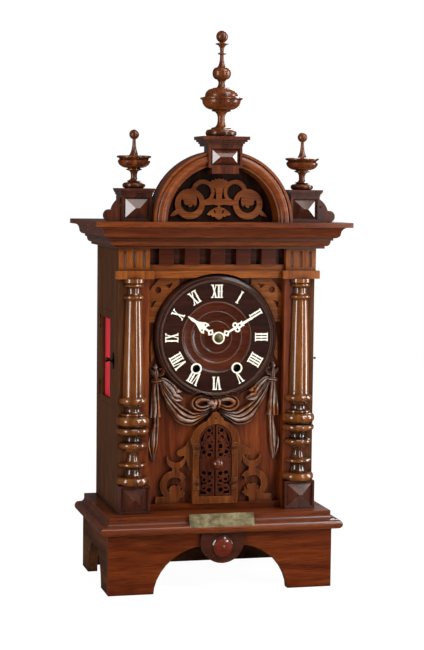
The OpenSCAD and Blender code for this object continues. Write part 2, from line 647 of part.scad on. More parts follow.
// Carved drapery. A strip of cloth follows a path in the XZ plane; its front is raised in folds
// and its back is flat on the board. Path points are [x, z, width, height, folds].
function strip_dir(p, i) = let (a = p[max(0, i - 1)], b = p[min(len(p) - 1, i + 1)],
  l = norm([b[0] - a[0], b[1] - a[1]])) [(b[0] - a[0]) / l, (b[1] - a[1]) / l];
function fold_h(u, folds) = 0.62 + 0.38 * pow(abs(cos(90 * folds * (u + 1))), 0.8);
function strip_ring(p, i, d, m) = let (t = strip_dir(p, i), q = p[i]) concat(
  [for (k = [0:m]) let (u = 2 * k / m - 1, e = k == 0 || k == m ? 0.12 : fold_h(u, q[4]))
    [q[0] - t[1] * u * q[2] / 2, fy(d + q[3] * e), q[1] + t[0] * u * q[2] / 2]],
  [[q[0] - t[1] * q[2] / 2, fy(d), q[1] + t[0] * q[2] / 2],
   [q[0] + t[1] * q[2] / 2, fy(d), q[1] - t[0] * q[2] / 2]]);
module strip(p, d, m) {
  n = len(p);
  w = m + 3;
  rings = [for (i = [0:n - 1]) strip_ring(p, i, d, m)];
  polyhedron([for (r = rings) each r],
    concat([for (i = [0:n - 2], k = [0:w - 1]) let (a = i * w + k, b = i * w + (k + 1) % w)
        each [[a, b, b + w], [a, b + w, a + w]]],
      [[for (k = [w - 1:-1:0]) k], [for (k = [0:w - 1]) (n - 1) * w + k]]));
}
// Smooth path through hand-set stations, so the strip bends and swells evenly
function spline(p, i, t) = let (a = p[max(0, i - 1)], b = p[i], c = p[i + 1],
  e = p[min(len(p) - 1, i + 2)]) 0.5 * ((2 * b) + (c - a) * t
  + (2 * a - 5 * b + 4 * c - e) * t * t + (3 * b - a - 3 * c + e) * t * t * t);
function path(p, per) = [for (i = [0:len(p) - 2], k = [0:per - 1]) spline(p, i, k / per),
  p[len(p) - 1]];
carve_d = board_d;
tail = [[-99, 333, 8, 11, 1], [-100, 312, 13, 13, 2], [-99, 290, 17.5, 14, 3],
  [-100, 274, 15, 12, 3], [-103, 258, 9, 11, 2], [-103, 232, 8, 9, 2], [-102.5, 204, 4, 7, 1]];
swag = [[-91, 332, 6, 10, 1], [-84, 320, 9, 13, 2], [-72, 305, 13, 15, 2], [-61, 290.5, 22, 16, 3],
  [-48, 280, 24, 16, 3], [-34, 278.3, 15, 15, 2], [-20, 280.5, 9, 13, 1], [-10, 284, 5, 12, 1]];
ribbon = [[-90, 341, 5, 9, 1], [-80, 333, 10, 12, 2], [-71, 323, 14, 13, 3], [-63, 313, 13, 11, 2]];
// Rounded lump of radius r that stands h off the board, drawn out from a to b
module pod(a, b, r, h) hull() for (q = [a, b])
  translate([q[0], fy(carve_d + h / 2 + 0.2), q[1]]) scale([1, h / 2 / r, 1]) sphere(r = r, $fn = 12);
// Row of lumps through stations [x, z, radius, height]
module chain(p) for (i = [0:len(p) - 2]) hull() for (q = [p[i], p[i + 1]])
  translate([q[0], fy(carve_d + q[3] / 2 + 0.2), q[1]]) scale([1, q[3] / 2 / q[2], 1])
    sphere(r = q[2], $fn = 12);
module drapery_side() {
  strip(path(tail, 3), carve_d, 12);
  strip(path(ribbon, 3), carve_d, 8);
  strip(path(swag, 3), carve_d, 12);
  // gathered knot with its bud, two lobes and the band round it, then the ribbon's fringed end
  pod([-99, 361.5], [-99, 354], 4, 12);
  pod([-104, 353], [-100, 348], 4, 13);
  pod([-92.8, 352], [-98, 347], 3.8, 13);
  pod([-98.6, 350], [-98.6, 342], 5.5, 15);
  pod([-102, 337], [-92.5, 337.5], 4.4, 16);
  pod([-99.5, 332], [-99.5, 326], 5, 14);
  pod([-61, 316], [-66, 319], 3, 14);
  pod([-59.5, 308], [-66, 312], 3.4, 14);
}
module drapery_left() color(dark_walnut) drapery_side();
module drapery_right() color(dark_walnut) mirror([1, 0, 0]) drapery_side();
loop = [[-6, 300, 3.2, 15], [-14, 305.6, 4, 17], [-26, 307.6, 4.4, 19], [-34.6, 303, 4.6, 18],
  [-35.4, 295.6, 4, 16], [-27, 290.8, 4, 16], [-16, 292, 3.4, 15], [-7, 296, 3, 14]];
loop_fold = [[-9, 303, 1.6, 19], [-24, 309.5, 1.8, 22], [-36, 305, 1.8, 20]];
module drapery_bow() color(dark_walnut) {
  both() {
    chain(path(loop, 2));
    chain(loop_fold);
  }
  pod([0, 299.6], [0, 297.8], 9, 20);
}

// Frame round the little doors: stiles, round head with a three-lobed top, and side scrolls
stile_w = 9.4;
frame_t = frame_d - board_d;
frame_hw = way_hw + stile_w;
leaf_t = 4;
leaf_d = frame_d - 2;
hinge_x = way_hw + 0.9;
hinge_d = frame_d + 0.6;
door_hinge_z = [168, 226];
door_knuckle = 6;
module head(r, z0) {
  translate([-r, z0]) square([2 * r, way_spring_z - z0]);
  translate([0, way_spring_z]) circle(r);
}
// Outline that swells past the stiles into a flattened round head
head_hw = 40.8;
head_rise = 35;
module frame_outline() {
  translate([-frame_hw, rail_z]) square([2 * frame_hw, way_spring_z - rail_z]);
  polygon([for (a = [-22.5:7.5:202.5]) [head_hw * cos(a), way_spring_z + (a < 0 || a > 180 ? 26 : head_rise)
    * sin(a)]]);
}
// Side scrolls: a shoulder that curls over a crescent, and a ring with a tongue on a base block
module scrolls() {
  difference() {
    union() {
      polygon([[frame_hw - 2, 246], [41, 241], [44.9, 234.6], [47.4, 230], [51, 227.2], [55, 226.4],
        [59, 224.2], [61.5, 219], [60.4, 214.6], [57, 212.6], [53.6, 213.6], [52.6, 216.6],
        [50.6, 213], [47.4, 207], [44.6, 199], [40.6, 192], [frame_hw - 2, 190]]);
      translate([64, 208.5]) circle(15.6);
    }
    translate([64, 217.6]) circle(15.2);
  }
  // the shoulder's curl, clear of the crescent's hollow
  translate([57, 218.6]) circle(5.6);
  polygon([[44, 226], [52, 226.6], [58, 223.6], [52, 214], [44, 212]]);
  translate([59.2, 185]) square([10.6, 12]);
  difference() {
    translate([67, 165.6]) circle(23.6, $fn = 64);
    translate([66.2, 165]) circle(14.2);
    polygon([[30, 148], [30, 178], [51, 178], [54, 165], [51, 152]]);
  }
  polygon([[60.6, 144], [59.8, 152], [56.4, 157], [55.8, 162], [60.4, 165.6], [62.4, 162.6], [66, 165.8],
    [71.6, 164.4], [76, 159.4], [74, 154.4], [69, 149.6], [68, 144]]);
  polygon([[60, rail_z], [60, 143], [70, 147], [97.4, 147.4], [98.4, rail_z]]);
}
module door_surround() color(light_walnut) {
  difference() {
    upright(frame_d, frame_t) difference() {
      union() {
        frame_outline();
        translate([0, 278.4]) circle(7.4);
        for (s = [-1, 1]) translate([7.4 * s, 272]) circle(5.8);
      }
      head(way_hw, way_z0);
      translate([0, 275.6]) circle(1.6);
    }
    both() for (z = door_hinge_z) translate([hinge_x, fy(hinge_d), z])
      cylinder(r = knuckle_r + 0.4, h = 3 * door_knuckle + 1, center = true);
  }
  both() {
    upright(board_d + 9, 9) scrolls();
    for (z = door_hinge_z) translate([hinge_x, fy(hinge_d), z]) {
      fixed_knuckles(door_knuckle);
      for (s = [-1, 1]) box([1.5, -0.6, s * door_knuckle - 2.8], [7, 0.6, s * door_knuckle + 2.8]);
    }
  }
}
// A leaf: stile, rails and pierced scrolls, swelling into the round head
leaf_gap = 0.45;
meet_gap = 1;
module leaf_outline() intersection() {
  head(way_hw - leaf_gap, way_z0 + leaf_gap);
  translate([meet_gap, way_z0]) square([way_hw, 200]);
}
// Scrolls left standing in each pierced panel: [x, z, radius, thickness]
leaf_rings = [[9.8, 157.4, 6.8, 3], [18.8, 161, 6, 2.6], [9, 171.4, 5.6, 2.4], [18.2, 174.4, 5, 2.2],
  [9.2, 184.4, 6, 2.6], [19, 185.4, 6.2, 2.6], [9.6, 215.8, 6.2, 2.6], [19, 219.8, 6, 2.6],
  [9, 229.4, 6.2, 2.6], [18.2, 233.2, 5.6, 2.4], [10.4, 243.4, 7, 3], [10.6, 255.4, 5.4, 2.2]];
leaf_blades = [[12, 178, 30, 24, 4], [13.4, 166, 150, 24, 4], [14, 208.6, 28, 26, 5],
  [13, 238, 128, 26, 4.4], [14.6, 226, 60, 22, 4], [17, 247, 106, 18, 4]];
module leaf_openings() difference() {
  union() {
    for (z = [[151, 190], [210, 244]]) translate([4.4, z[0]]) square([20, z[1] - z[0]]);
    intersection() {
      translate([4.4, 243]) square([20, 20]);
      translate([0, way_spring_z]) circle(23.4);
    }
  }
  for (c = leaf_rings) translate([c[0], c[1]]) annulus(c[2], c[2] - c[3]);
  for (c = leaf_blades) translate([c[0], c[1]]) rotate(c[2]) lens(c[3], c[4]);
}
module leaf(s) {
  mirror([s < 0 ? 1 : 0, 0, 0]) {
    upright(leaf_d, leaf_t) difference() {
      leaf_outline();
      leaf_openings();
    }
    for (z = door_hinge_z) {
      translate([hinge_x, fy(hinge_d), z]) moving_knuckle(door_knuckle);
      box([way_hw - 3, fy(hinge_d) - 0.9, z - 2.8], [way_hw - 0.2, fy(leaf_d) + 0.4, z + 2.8]);
    }
  }
}
knob_z = 202;
knob_r = 9.8;
module door_left() color(light_walnut) leaf(-1);
module door_right() color(light_walnut) {
  leaf(1);
  translate([0, fy(leaf_d + 3), knob_z]) rotate([90, 0, 0]) {
    turned(concat([[4.5, 0], [4.5, 1]], cove(4.5, 1, 3, 3), [[3, 3.6]],
      [for (a = [-68:14:86]) [knob_r * cos(a), 12.4 + knob_r * sin(a)]]));
  }
  box([meet_gap + 0.2, fy(leaf_d + 3), knob_z - 4], [6, fy(leaf_d) + eps, knob_z + 4]);
}

// Side doors with silk windows and their turn latches
win_y0 = fy(124);
win_y1 = fy(53);
win_z0 = 302;
win_z1 = 434;
module side_door() {
  difference() {
    union() {
      box([case_hw - sdoor_t, sdoor_y0 + sdoor_gap, sdoor_z0 + sdoor_gap],
          [case_hw, sdoor_y1 - sdoor_gap - 0.4, sdoor_z1 - sdoor_gap]);
      for (z = sdoor_hinge_z)
        box([sdoor_axis_x - 2, sdoor_axis_y - 6, z - 3.6],
            [sdoor_axis_x - 0.6, sdoor_axis_y, z + 3.6]);
    }
    box([case_hw - sdoor_t - 1, win_y0, win_z0], [case_hw + 1, win_y1, win_z1]);
    box([case_hw - sdoor_t - 1, win_y0 - 4, win_z0 - 4],
        [case_hw - sdoor_t + 3, win_y1 + 4, win_z1 + 4]);
    for (z = sdoor_hinge_z, s = [-1, 1]) translate([sdoor_axis_x, sdoor_axis_y, z + s * 8])
      cylinder(r = knuckle_r + 0.4, h = 8.2, center = true);
  }
  for (z = sdoor_hinge_z) translate([sdoor_axis_x, sdoor_axis_y, z]) moving_knuckle(8);
  translate([case_hw, win_y0 - 9, latch_z]) rotate([0, 90, 0])
    turned([[3.2, -eps], [2.2, 2], [2.2, 4], [4, 6], [4, 8], [2.4, 9]]);
}
module side_door_right() color(dark_walnut) side_door();
module side_door_left() color(dark_walnut) mirror([1, 0, 0]) side_door();
module silk() box([case_hw - sdoor_t + 2, win_y0 - 3.8, win_z0 - 3.8],
  [case_hw - sdoor_t + 3, win_y1 + 3.8, win_z1 + 3.8]);
module silk_right() color("crimson") silk();
module silk_left() color("crimson") mirror([1, 0, 0]) silk();
module side_latch() translate([case_hw, latch_y, latch_z]) rotate([0, 90, 0]) {
  translate([0, 0, -6]) cylinder(r = 1.6, h = 8);
  translate([0, 0, 0.4]) cylinder(r = 4.2, h = 2.2);
  translate([0, 0, 2.6]) cylinder(r = 2.4, h = 1.6);
  translate([-13, -2, 0.8]) cube([26, 4, 1.4]);
}
module side_latch_right() color(iron) side_latch();
module side_latch_left() color(iron) mirror([1, 0, 0]) side_latch();

// Back: frame and door
rear_t = 8;
rear_hw = 110;
rear_z0 = 160;
rear_z1 = 520;
rear_axis_x = -rear_hw + 0.2;
rear_axis_y = case_back + 0.6;
rear_hinge_z = [200, 340, 480];
rear_button = [rear_hw + 6, 340];
module back_frame() color(dark_walnut) {
  difference() {
    box([-case_hw + side_t, case_back - rear_t, plinth_z], [case_hw - side_t, case_back, cornice_z]);
    box([-rear_hw, back_y - 20, rear_z0], [rear_hw, back_y + 1, rear_z1]);
    for (z = rear_hinge_z) translate([rear_axis_x, rear_axis_y, z])
      cylinder(r = knuckle_r + 0.4, h = 31, center = true);
    on(rear_button, back_y - 20) cylinder(r = 1.6 + fit_c, h = 20);
  }
  for (z = rear_hinge_z) translate([rear_axis_x, rear_axis_y, z]) {
    fixed_knuckles(10);
    for (s = [-1, 1]) box([-8, -0.6, s * 10 - 4.8], [-1.5, 0.6, s * 10 + 4.8]);
  }
  // stop strip that the door closes against
  box([rear_hw - 6, case_back - rear_t - 5, rear_z0 + 4],
      [rear_hw + 5, case_back - rear_t, rear_z1 - 4]);
}
module rear_door() color(dark_walnut) {
  difference() {
    box([-rear_hw + 1, case_back - rear_t + 0.4, rear_z0 + 0.8],
        [rear_hw - 0.8, case_back, rear_z1 - 0.8]);
    for (z = rear_hinge_z, s = [-1, 1]) translate([rear_axis_x, rear_axis_y, z + s * 10])
      cylinder(r = knuckle_r + 0.4, h = 10.4, center = true);
  }
  for (z = rear_hinge_z) translate([rear_axis_x, rear_axis_y, z]) {
    moving_knuckle(10);
    box([1.5, -0.6, -4.6], [8, 0.6, 4.6]);
  }
}
// Turn button; upright it leaves the rear door free
module rear_latch() color(brass) {
  on(rear_button, case_back - 6) cylinder(r = 1.6, h = 7);
  on(rear_button, case_back + 0.2) linear_extrude(1.6) {
    circle(3.6);
    translate([-2.6, -12]) square([5.2, 24]);
  }
}

// Movement. The arbors run along Y between two brass plates; (x, z) gives each arbor.
plate_f = -30;
plate_b = 28;
plate_t = 3;
centre_m = 0.8;
third_m = 0.7;
great_m = 1.2434;
great_n = 84;
centre_pin_n = 14;
third_pin_n = 8;
escape_pin_n = 6;
motion_m = 0.9;
hour_m = 0.84;
cannon_n = 14;
motion_n = 42;
motion_pin_n = 12;
hour_n = 48;
centre_p = [0, dial_z];
third_p = [-24.9, dial_z + 24.9];
escape_dist = (third_n + escape_pin_n) / 2 * third_m;
escape_p = [0, third_p[1] + sqrt(escape_dist * escape_dist - third_p[0] * third_p[0])];
anchor_p = [0, escape_p[1] + 24];
motion_p = [(motion_n + cannon_n) / 2 * motion_m, dial_z];
going_p = [-wind_x, wind_z];
strike_p = [wind_x, wind_z];
strike_n = 78;
strike_pin_n = 10;
strike_wheel_n = 60;
fly_pin_n = 8;
strike_dist = (strike_n + strike_pin_n) / 2;
second_p = strike_p + strike_dist * [sin(45), cos(45)];
fly_dist = (strike_wheel_n + fly_pin_n) / 2 * 0.8;
fly_p = second_p + fly_dist * [-sin(20), cos(20)];
pivot_r = 1.2;
arbor_r = 2;
cannon_r = 2.5;
// Places something about an arbor, with its Z towards the back; y is where it starts
module on(p, y) translate([p[0], y, p[1]]) rotate([-90, 0, 0]) children();
// Spur wheel with straight-sided teeth, standing on the XY plane. In the clock's frame seen
// from the front, a tooth points at angle ph, and the mate then has a gap facing it.
module spur(n, m, h, ph, w = 0.36) {
  rp = n * m / 2;
  ra = rp + 0.85 * m;
  rf = rp - 1.2 * m;
  pitch = PI * m;
  linear_extrude(h) {
    circle(rf + 0.01, $fn = max(24, n));
    for (i = [0:n - 1]) rotate(-ph + 360 * i / n) polygon([[rf - 0.3 * m, -pitch * 0.24],
      [rf - 0.3 * m, pitch * 0.24], [rp, pitch * w / 2], [ra, pitch * 0.09],
      [ra, -pitch * 0.09], [rp, -pitch * w / 2]]);
  }
}
module wheel(n, m, h, ph, crossings = 4) difference() {
  spur(n, m, h, ph);
  r1 = n * m / 2 - 4.4 * m;
  for (i = [0:crossings - 1]) rotate(360 / crossings * i + 20) translate([0, 0, -1])
    linear_extrude(h + 2) intersection() {
      annulus(r1, 6);
      polygon([[0, 0], [80 * cos(10), 80 * sin(10)], [80 * cos(62), 80 * sin(62)]]);
    }
}
// Angle from arbor a to arbor b in the XZ plane, and the phase that puts a gap there
function bearing(a, b) = atan2(b[1] - a[1], b[0] - a[0]);
// Phase of a mate: its gap faces the tooth of wheel one that lies nearest the line of centres
function mate(n1, ph1, a, b, n2) = let (g = bearing(a, b), k = round((g - ph1) * n1 / 360),
  off = (ph1 + k * 360 / n1) - g) g + 180 - off * n1 / n2 + 180 / n2;
centre_ph = 0;
third_pin_ph = mate(centre_n, centre_ph, centre_p, third_p, third_pin_n);
third_ph = 0;
escape_pin_ph = mate(third_n, third_ph, third_p, escape_p, escape_pin_n);
going_ph = 0;
centre_pin_ph = mate(great_n, going_ph, going_p, centre_p, centre_pin_n);
cannon_ph = 0;
motion_ph = mate(cannon_n, cannon_ph, centre_p, motion_p, motion_n);
hour_ph = 0;
motion_pin_ph = mate(hour_n, hour_ph, centre_p, motion_p, motion_pin_n);
strike_ph = 0;
second_pin_ph = mate(strike_n, strike_ph, strike_p, second_p, strike_pin_n);
second_ph = 0;
fly_pin_ph = mate(strike_wheel_n, second_ph, second_p, fly_p, fly_pin_n);

motion_stud_y = -44;
pillar_p = [[-92, 470], [92, 470], [-92, 318], [92, 318]];
module plate_outline() difference() {
  translate([-100, 305]) square([200, 175]);
  for (s = [-1, 1]) translate([s * 74, 446]) circle(12);
}
module pivot_holes(c) {
  translate(centre_p) circle(cannon_r + c);
  for (p = [third_p, escape_p, second_p, fly_p, anchor_p]) translate(p) circle(pivot_r + c);
  for (p = [going_p, strike_p]) translate(p) circle(3.5 + c);
}
module movement_frame() color(brass) {
  for (y = [plate_f, plate_b]) translate([0, y + plate_t, 0]) rotate([90, 0, 0])
    linear_extrude(plate_t) difference() {
      plate_outline();
      pivot_holes(fit_c);
    }
  for (p = pillar_p) on(p, plate_f + plate_t)
    turned([[5, 0], [5, 3], [3.4, 5], [3.4, 24], [4.6, 27.5], [3.4, 31], [3.4, 50], [5, 52],
      [5, plate_b - plate_f - plate_t]]);
  // stud of the motion wheel, cock of the pendulum, and the feet on the board's back
  on(motion_p, motion_stud_y) cylinder(r = 1.5, h = plate_f - motion_stud_y);
  box([-14, plate_b + plate_t, anchor_p[1] + 6], [14, 50, anchor_p[1] + 12]);
  box([-14, 48, anchor_p[1] - 6], [14, 50, anchor_p[1] + 12]);
  on(anchor_p, 39) cylinder(r = 1.5, h = 9.5);
  for (p = pillar_p) on(p, fy(board_d - board_t)) cylinder(r = 4, h = plate_f - fy(board_d - board_t));
}
minute_a = 90 - show_m * 6;
hour_a = 90 - (show_h + show_m / 60) * 30;
module at_axis(d) translate([0, fy(d), dial_z]) rotate([90, 0, 0]) children();
module centre_wheel() color(brass) {
  on(centre_p, fy(203)) cylinder(r = cannon_r, h = plate_b + plate_t + 0.6 - fy(203));
  // collet that the minute hand is pressed on, domed in front
  at_axis(199) turned([[hub_disc_r, 0], [hub_disc_r, 1.8], [7, 2.3], [3.6, 2.7], [3.2, 4.2], [2, 4.6]]);
  on(centre_p, -36.5) spur(cannon_n, motion_m, 5, cannon_ph);
  on(centre_p, -12) wheel(centre_n, centre_m, 2.5, centre_ph);
  on(centre_p, 8) spur(centre_pin_n, great_m, 10, centre_pin_ph);
}
module hour_wheel() color(brass) difference() {
  union() {
    on(centre_p, fy(196)) cylinder(r = 4.4, h = -39 - fy(196));
    on(centre_p, -41) spur(hour_n, hour_m, 2.6, hour_ph);
  }
  on(centre_p, fy(200)) cylinder(r = cannon_r + fit_c, h = 60);
}
module motion_wheel() color(brass) difference() {
  union() {
    on(motion_p, -35.5) wheel(motion_n, motion_m, 3, motion_ph);
    on(motion_p, -41.5) spur(motion_pin_n, hour_m, 6.2, motion_pin_ph);
  }
  on(motion_p, -60) cylinder(r = 1.5 + fit_c, h = 60);
}
module arbor(p, r = arbor_r) {
  on(p, plate_f) cylinder(r = pivot_r, h = plate_b + plate_t - plate_f);
  on(p, plate_f + plate_t + 1) cylinder(r = r, h = plate_b - plate_f - plate_t - 2);
}
module third_wheel() color(brass) {
  arbor(third_p);
  on(third_p, -14) spur(third_pin_n, centre_m, 6.5, third_pin_ph, 0.3);
  on(third_p, 0) wheel(third_n, third_m, 2.4, third_ph);
}
escape_r = 17;
module escape_wheel() color(brass) {
  arbor(escape_p, 1.22);
  on(escape_p, -2) spur(escape_pin_n, third_m, 6.4, escape_pin_ph, 0.3);
  on(escape_p, 17) difference() {
    linear_extrude(2) {
      circle(escape_r - 4);
      for (i = [0:escape_n - 1]) rotate(360 * i / escape_n)
        polygon([[escape_r - 4.4, -1], [escape_r, 0.9], [escape_r, 1.1], [escape_r - 4.4, 0.8]]);
    }
    for (i = [0:3]) rotate(90 * i + 45) translate([8.2, 0, -1]) cylinder(r = 3.2, h = 4);
  }
}
module anchor() color("silver") {
  on(anchor_p, plate_f) cylinder(r = pivot_r, h = 36 - plate_f);
  on(anchor_p, -26) cylinder(r = arbor_r, h = 53);
  on(anchor_p, 16.6) linear_extrude(2.8) {
    circle(4);
    for (s = [-1, 1]) {
      polygon([[0, -2.6], [s * 13.6, 8], [s * 15.6, 11.4], [s * 13.4, 10.6], [0, 3]]);
    }
  }
  // crutch behind the back plate, with a fork that holds the rod
  on(anchor_p, 32.5) cylinder(r = 3, h = 3.5);
  box([-1.5, 33, anchor_p[1] - 60], [1.5, 35.5, anchor_p[1] - 1]);
  for (s = [-1, 1]) box([s * 2.6 - 0.8, 33, anchor_p[1] - 62], [s * 2.6 + 0.8, 46, anchor_p[1] - 57]);
  box([-3.4, 33, anchor_p[1] - 62], [3.4, 35.5, anchor_p[1] - 57]);
}
rod_y = 43;
bob_r = 24;
bob_z = anchor_p[1] - pendulum_l;
module pendulum() color(brass) {
  difference() {
    union() {
      on(anchor_p, rod_y - 1.5) cylinder(r = 4, h = 3);
      box([-1.6, rod_y - 1, bob_z + bob_r - 1], [1.6, rod_y + 1, anchor_p[1] - 2]);
    }
    on(anchor_p, rod_y - 5) cylinder(r = 1.5 + fit_c, h = 10);
  }
  on([0, bob_z], rod_y - 5)
    turned([[12, 0], [20, 2.2], [bob_r, 3.2], [bob_r, 6.8], [20, 7.8], [12, 10]]);
  translate([0, rod_y, bob_z - bob_r - 10]) cylinder(r = 1.3, h = 11);
  translate([0, rod_y, bob_z - bob_r - 6]) cylinder(r = 3, h = 3);
}
square_r = 3.2;
square_d = 176;
module barrel(p, y_wheel, n, m, ph) {
  on(p, fy(square_d)) cylinder(r = square_r, h = 14, $fn = 4);
  on(p, fy(square_d) + 13) cylinder(r = 3.5, h = plate_b + plate_t - fy(square_d) - 13);
  on(p, -25) cylinder(r = 22, h = 30);
  for (y = [-26, 4]) on(p, y) cylinder(r = 24, h = 2);
  on(p, y_wheel) wheel(n, m, 3, ph, 5);
}
module going_barrel() color(brass) barrel(going_p, 11, great_n, great_m, going_ph);
module strike_barrel() color(brass) barrel(strike_p, 20, strike_n, 1, strike_ph);
module strike_wheel() color(brass) {
  arbor(second_p);
  on(second_p, 18.5) spur(strike_pin_n, 1, 6.5, second_pin_ph, 0.3);
  on(second_p, 12) wheel(strike_wheel_n, 0.8, 2.4, second_ph);
}
module fly() color(brass) {
  arbor(fly_p);
  on(fly_p, 10) spur(fly_pin_n, 0.8, 6.4, fly_pin_ph, 0.3);
  box([fly_p[0] - 14, -22, fly_p[1] - 0.6], [fly_p[0] + 14, -2, fly_p[1] + 0.6]);
}

// Hands, pierced, with the time shown at rest. Each lies along +X from its hub.
hub_r = 10;
hub_disc_r = 7.8;
module halves() {
  children();
  mirror([0, 1]) children();
}
// Diamond with a square hole, and the stem out to x1
module hand_eye(x1) difference() {
  union() {
    translate([15, 0]) rotate(45) square(8.4, center = true);
    translate([hub_r - 1, -1.6]) square([x1 - hub_r + 1, 3.2]);
  }
  translate([15, 0]) rotate(45) square(3.6, center = true);
}
module hour_shape() {
  hand_eye(29);
  halves() difference() {
    polygon([[24, -eps], [24, 1.6], [26.4, 2], [25.2, 5.4], [22.8, 7.8], [27, 9.5], [31.6, 8.4],
      [37, 5.2], [42, 2.9], [46, 2], [51.5, 2.4], [61, 0.6], [61, -eps]]);
    translate([29, 5]) circle(1.6);
  }
}
module minute_shape() {
  hand_eye(31);
  halves() difference() {
    union() {
      translate([34, 4.2]) circle(4.5);
      translate([40.5, 0]) circle(4.2);
      polygon([[42, -eps], [42, 3], [47.6, 5], [46, 2.1], [60, 1.7], [77, 0.7], [77, -eps]]);
    }
    translate([34, 4.2]) circle(2.1);
    translate([40.5, 0]) circle(2.1);
  }
}
module hour_hand() color(bone) at_axis(194.8) difference() {
  linear_extrude(1.6) {
    circle(hub_r - 0.6);
    rotate(hour_a) hour_shape();
  }
  translate([0, 0, -1]) cylinder(r = 4.4 + fit_c, h = 4);
}
module minute_hand() color(bone) difference() {
  at_axis(199) {
    linear_extrude(1.6) rotate(minute_a) minute_shape();
    turned([[hub_r, 0], [hub_r, 1.9], [hub_r - 0.6, 2.4], [hub_disc_r + 0.4, 2.4]]);
  }
  at_axis(198) cylinder(r = hub_disc_r, h = 8, $fn = 64);
}

// Trumpeter's stage, bellows and music work in the bottom of the case
stage_z = 139;
module figure_stage() color(dark_walnut) {
  box([-58, fy(board_d - board_t), plinth_z], [58, 32, stage_z]);
  box([-58, 28, stage_z], [58, 32, 282]);
}
bel_x0 = -146;
bel_x1 = -66;
chest_z = 136;          // floor board of the wind chest
bel_axis_y = 24;
bel_axis_z = chest_z + 3.5;
bel_rod_r = 1.5;
bel_rest = 20;          // slope of the feeder board when the bellows stand open
music_x0 = 68;
music_x1 = 142;
music_z = 190;
module wind_chest() color(walnut) {
  box([bel_x0, -28, plinth_z], [bel_x1, 34, chest_z]);
  box([bel_x0, -28, 206], [bel_x1, 34, 226]);
  for (x = [bel_x0, bel_x1 - 5]) difference() {
    box([x, -28, chest_z - eps], [x + 5, 34, 206 + eps]);
    translate([x - 1, bel_axis_y, bel_axis_z]) rotate([0, 90, 0])
      cylinder(r = bel_rod_r + fit_c, h = 7);
  }
  for (x = [music_x0 - 4, music_x1 - 2]) difference() {
    box([x, -16, plinth_z], [x + 6, 16, music_z + 14]);
    translate([x - 1, 0, music_z]) rotate([0, 90, 0]) cylinder(r = 2.5 + fit_c, h = 8);
  }
}
module trumpets() color(brass) for (i = [0:4]) translate([-136 + i * 15, 3, 226])
  difference() {
    turned([[2, 0], [2, 34], [2.6, 44], [4, 52], [6.8, 58]]);
    turned([[0.8, 36], [1.6, 44], [3, 52], [5.9, 58.2]]);
  }
module bellows_board() color(walnut) translate([0, bel_axis_y, bel_axis_z]) {
  rotate([-bel_rest, 0, 0]) box([bel_x0 + 7, -50, 0], [bel_x1 - 7, 2, 6]);
  translate([bel_x0 + 0.5, 0, 0]) rotate([0, 90, 0]) cylinder(r = bel_rod_r, h = bel_x1 - bel_x0 - 1);
}
// Pleated leather wedge between the chest's floor and the feeder board
module bellows_leather() color("#6b4a30") translate([bel_x0 + 9, bel_axis_y, chest_z])
  rotate([90, 0, 90]) linear_extrude(bel_x1 - bel_x0 - 18) polygon([[-3, 0.2], [-3, 4.2],
    [-44.5, 19.3], [-47, 15.4], [-43.8, 11.6], [-47, 7.8], [-43.8, 4], [-45.5, 0.2]]);
module music_barrel() color(light_walnut) translate([0, 0, music_z]) rotate([0, 90, 0]) {
  translate([0, 0, music_x0 - 6]) cylinder(r = 2.5, h = music_x1 - music_x0 + 12);
  translate([0, 0, music_x0 + 3.5]) cylinder(r = 22, h = music_x1 - music_x0 - 7);
  for (k = [0:7], j = [0:4]) rotate(45 * k + 17 * j) translate([0, 0, music_x0 + 12 + 13 * j])
    rotate([0, 90, 0]) cylinder(r = 0.7, h = 24, $fn = 16);
}
// Standing figure: coat, legs, plain head and hat, bored across for the arms' pin
fig_y = 2;
shoulder_z = 62;
module trumpeter() color("#7a1f1c") translate([0, fig_y, stage_z]) difference() {
  figure();
  translate([0, 0, shoulder_z]) rotate([0, 90, 0])
    cylinder(r = 1.5 + fit_c, h = 40, center = true);
}
module figure() {
  cylinder(r = 17, h = 4);
  for (x = [-5, 5]) translate([x, 0, 4]) cylinder(r1 = 4.2, r2 = 4.8, h = 34);
  translate([0, 0, 36]) turned(concat([[12, 0]], cove(12, 0, 9, 16), ovolo(9, 16, 11, 30),
    ovolo(11, 30, 4, 38)));
  translate([0, 0, 81]) sphere(r = 8.4);
  translate([0, 0, 72]) cylinder(r = 4, h = 5);
  translate([0, 0, 87]) turned([[12, 0], [12, 1.6], [7.6, 3], [6.8, 12], [2, 14]]);
}
// Both arms with the trumpet, turning together on a pin across the shoulders
module limb(a, b, r0, r1) {
  d = b - a;
  translate(a) rotate([0, acos(d[2] / norm(d)), atan2(d[1], d[0])])
    cylinder(r1 = r0, r2 = r1, h = norm(d));
}
module trumpet_arm() color(brass) translate([0, fig_y, stage_z + shoulder_z]) {
  rotate([0, 90, 0]) cylinder(r = 1.5, h = 30, center = true);
  for (s = [-1, 1]) {
    shoulder = [s * 14.8, 0, 0];
    elbow = [s * 16, -8, -18];
    hand = [s * 2.2, -26, -3.2];
    translate(shoulder) sphere(r = 3.1);
    limb(shoulder, elbow, 2.9, 2.5);
    translate(elbow) sphere(r = 2.6);
    limb(elbow, hand, 2.4, 1.9);
    translate(hand) sphere(r = 2.2);
  }
  translate([0, -20.2, 3.9]) rotate([134.3, 0, 0]) difference() {
    turned([[1.8, 0], [1.8, 1.5], [0.9, 3], [0.9, 26], [1.6, 32], [3, 37], [6, 40]]);
    turned([[0.3, 31], [2.2, 37], [5.4, 40.2]]);
  }
}

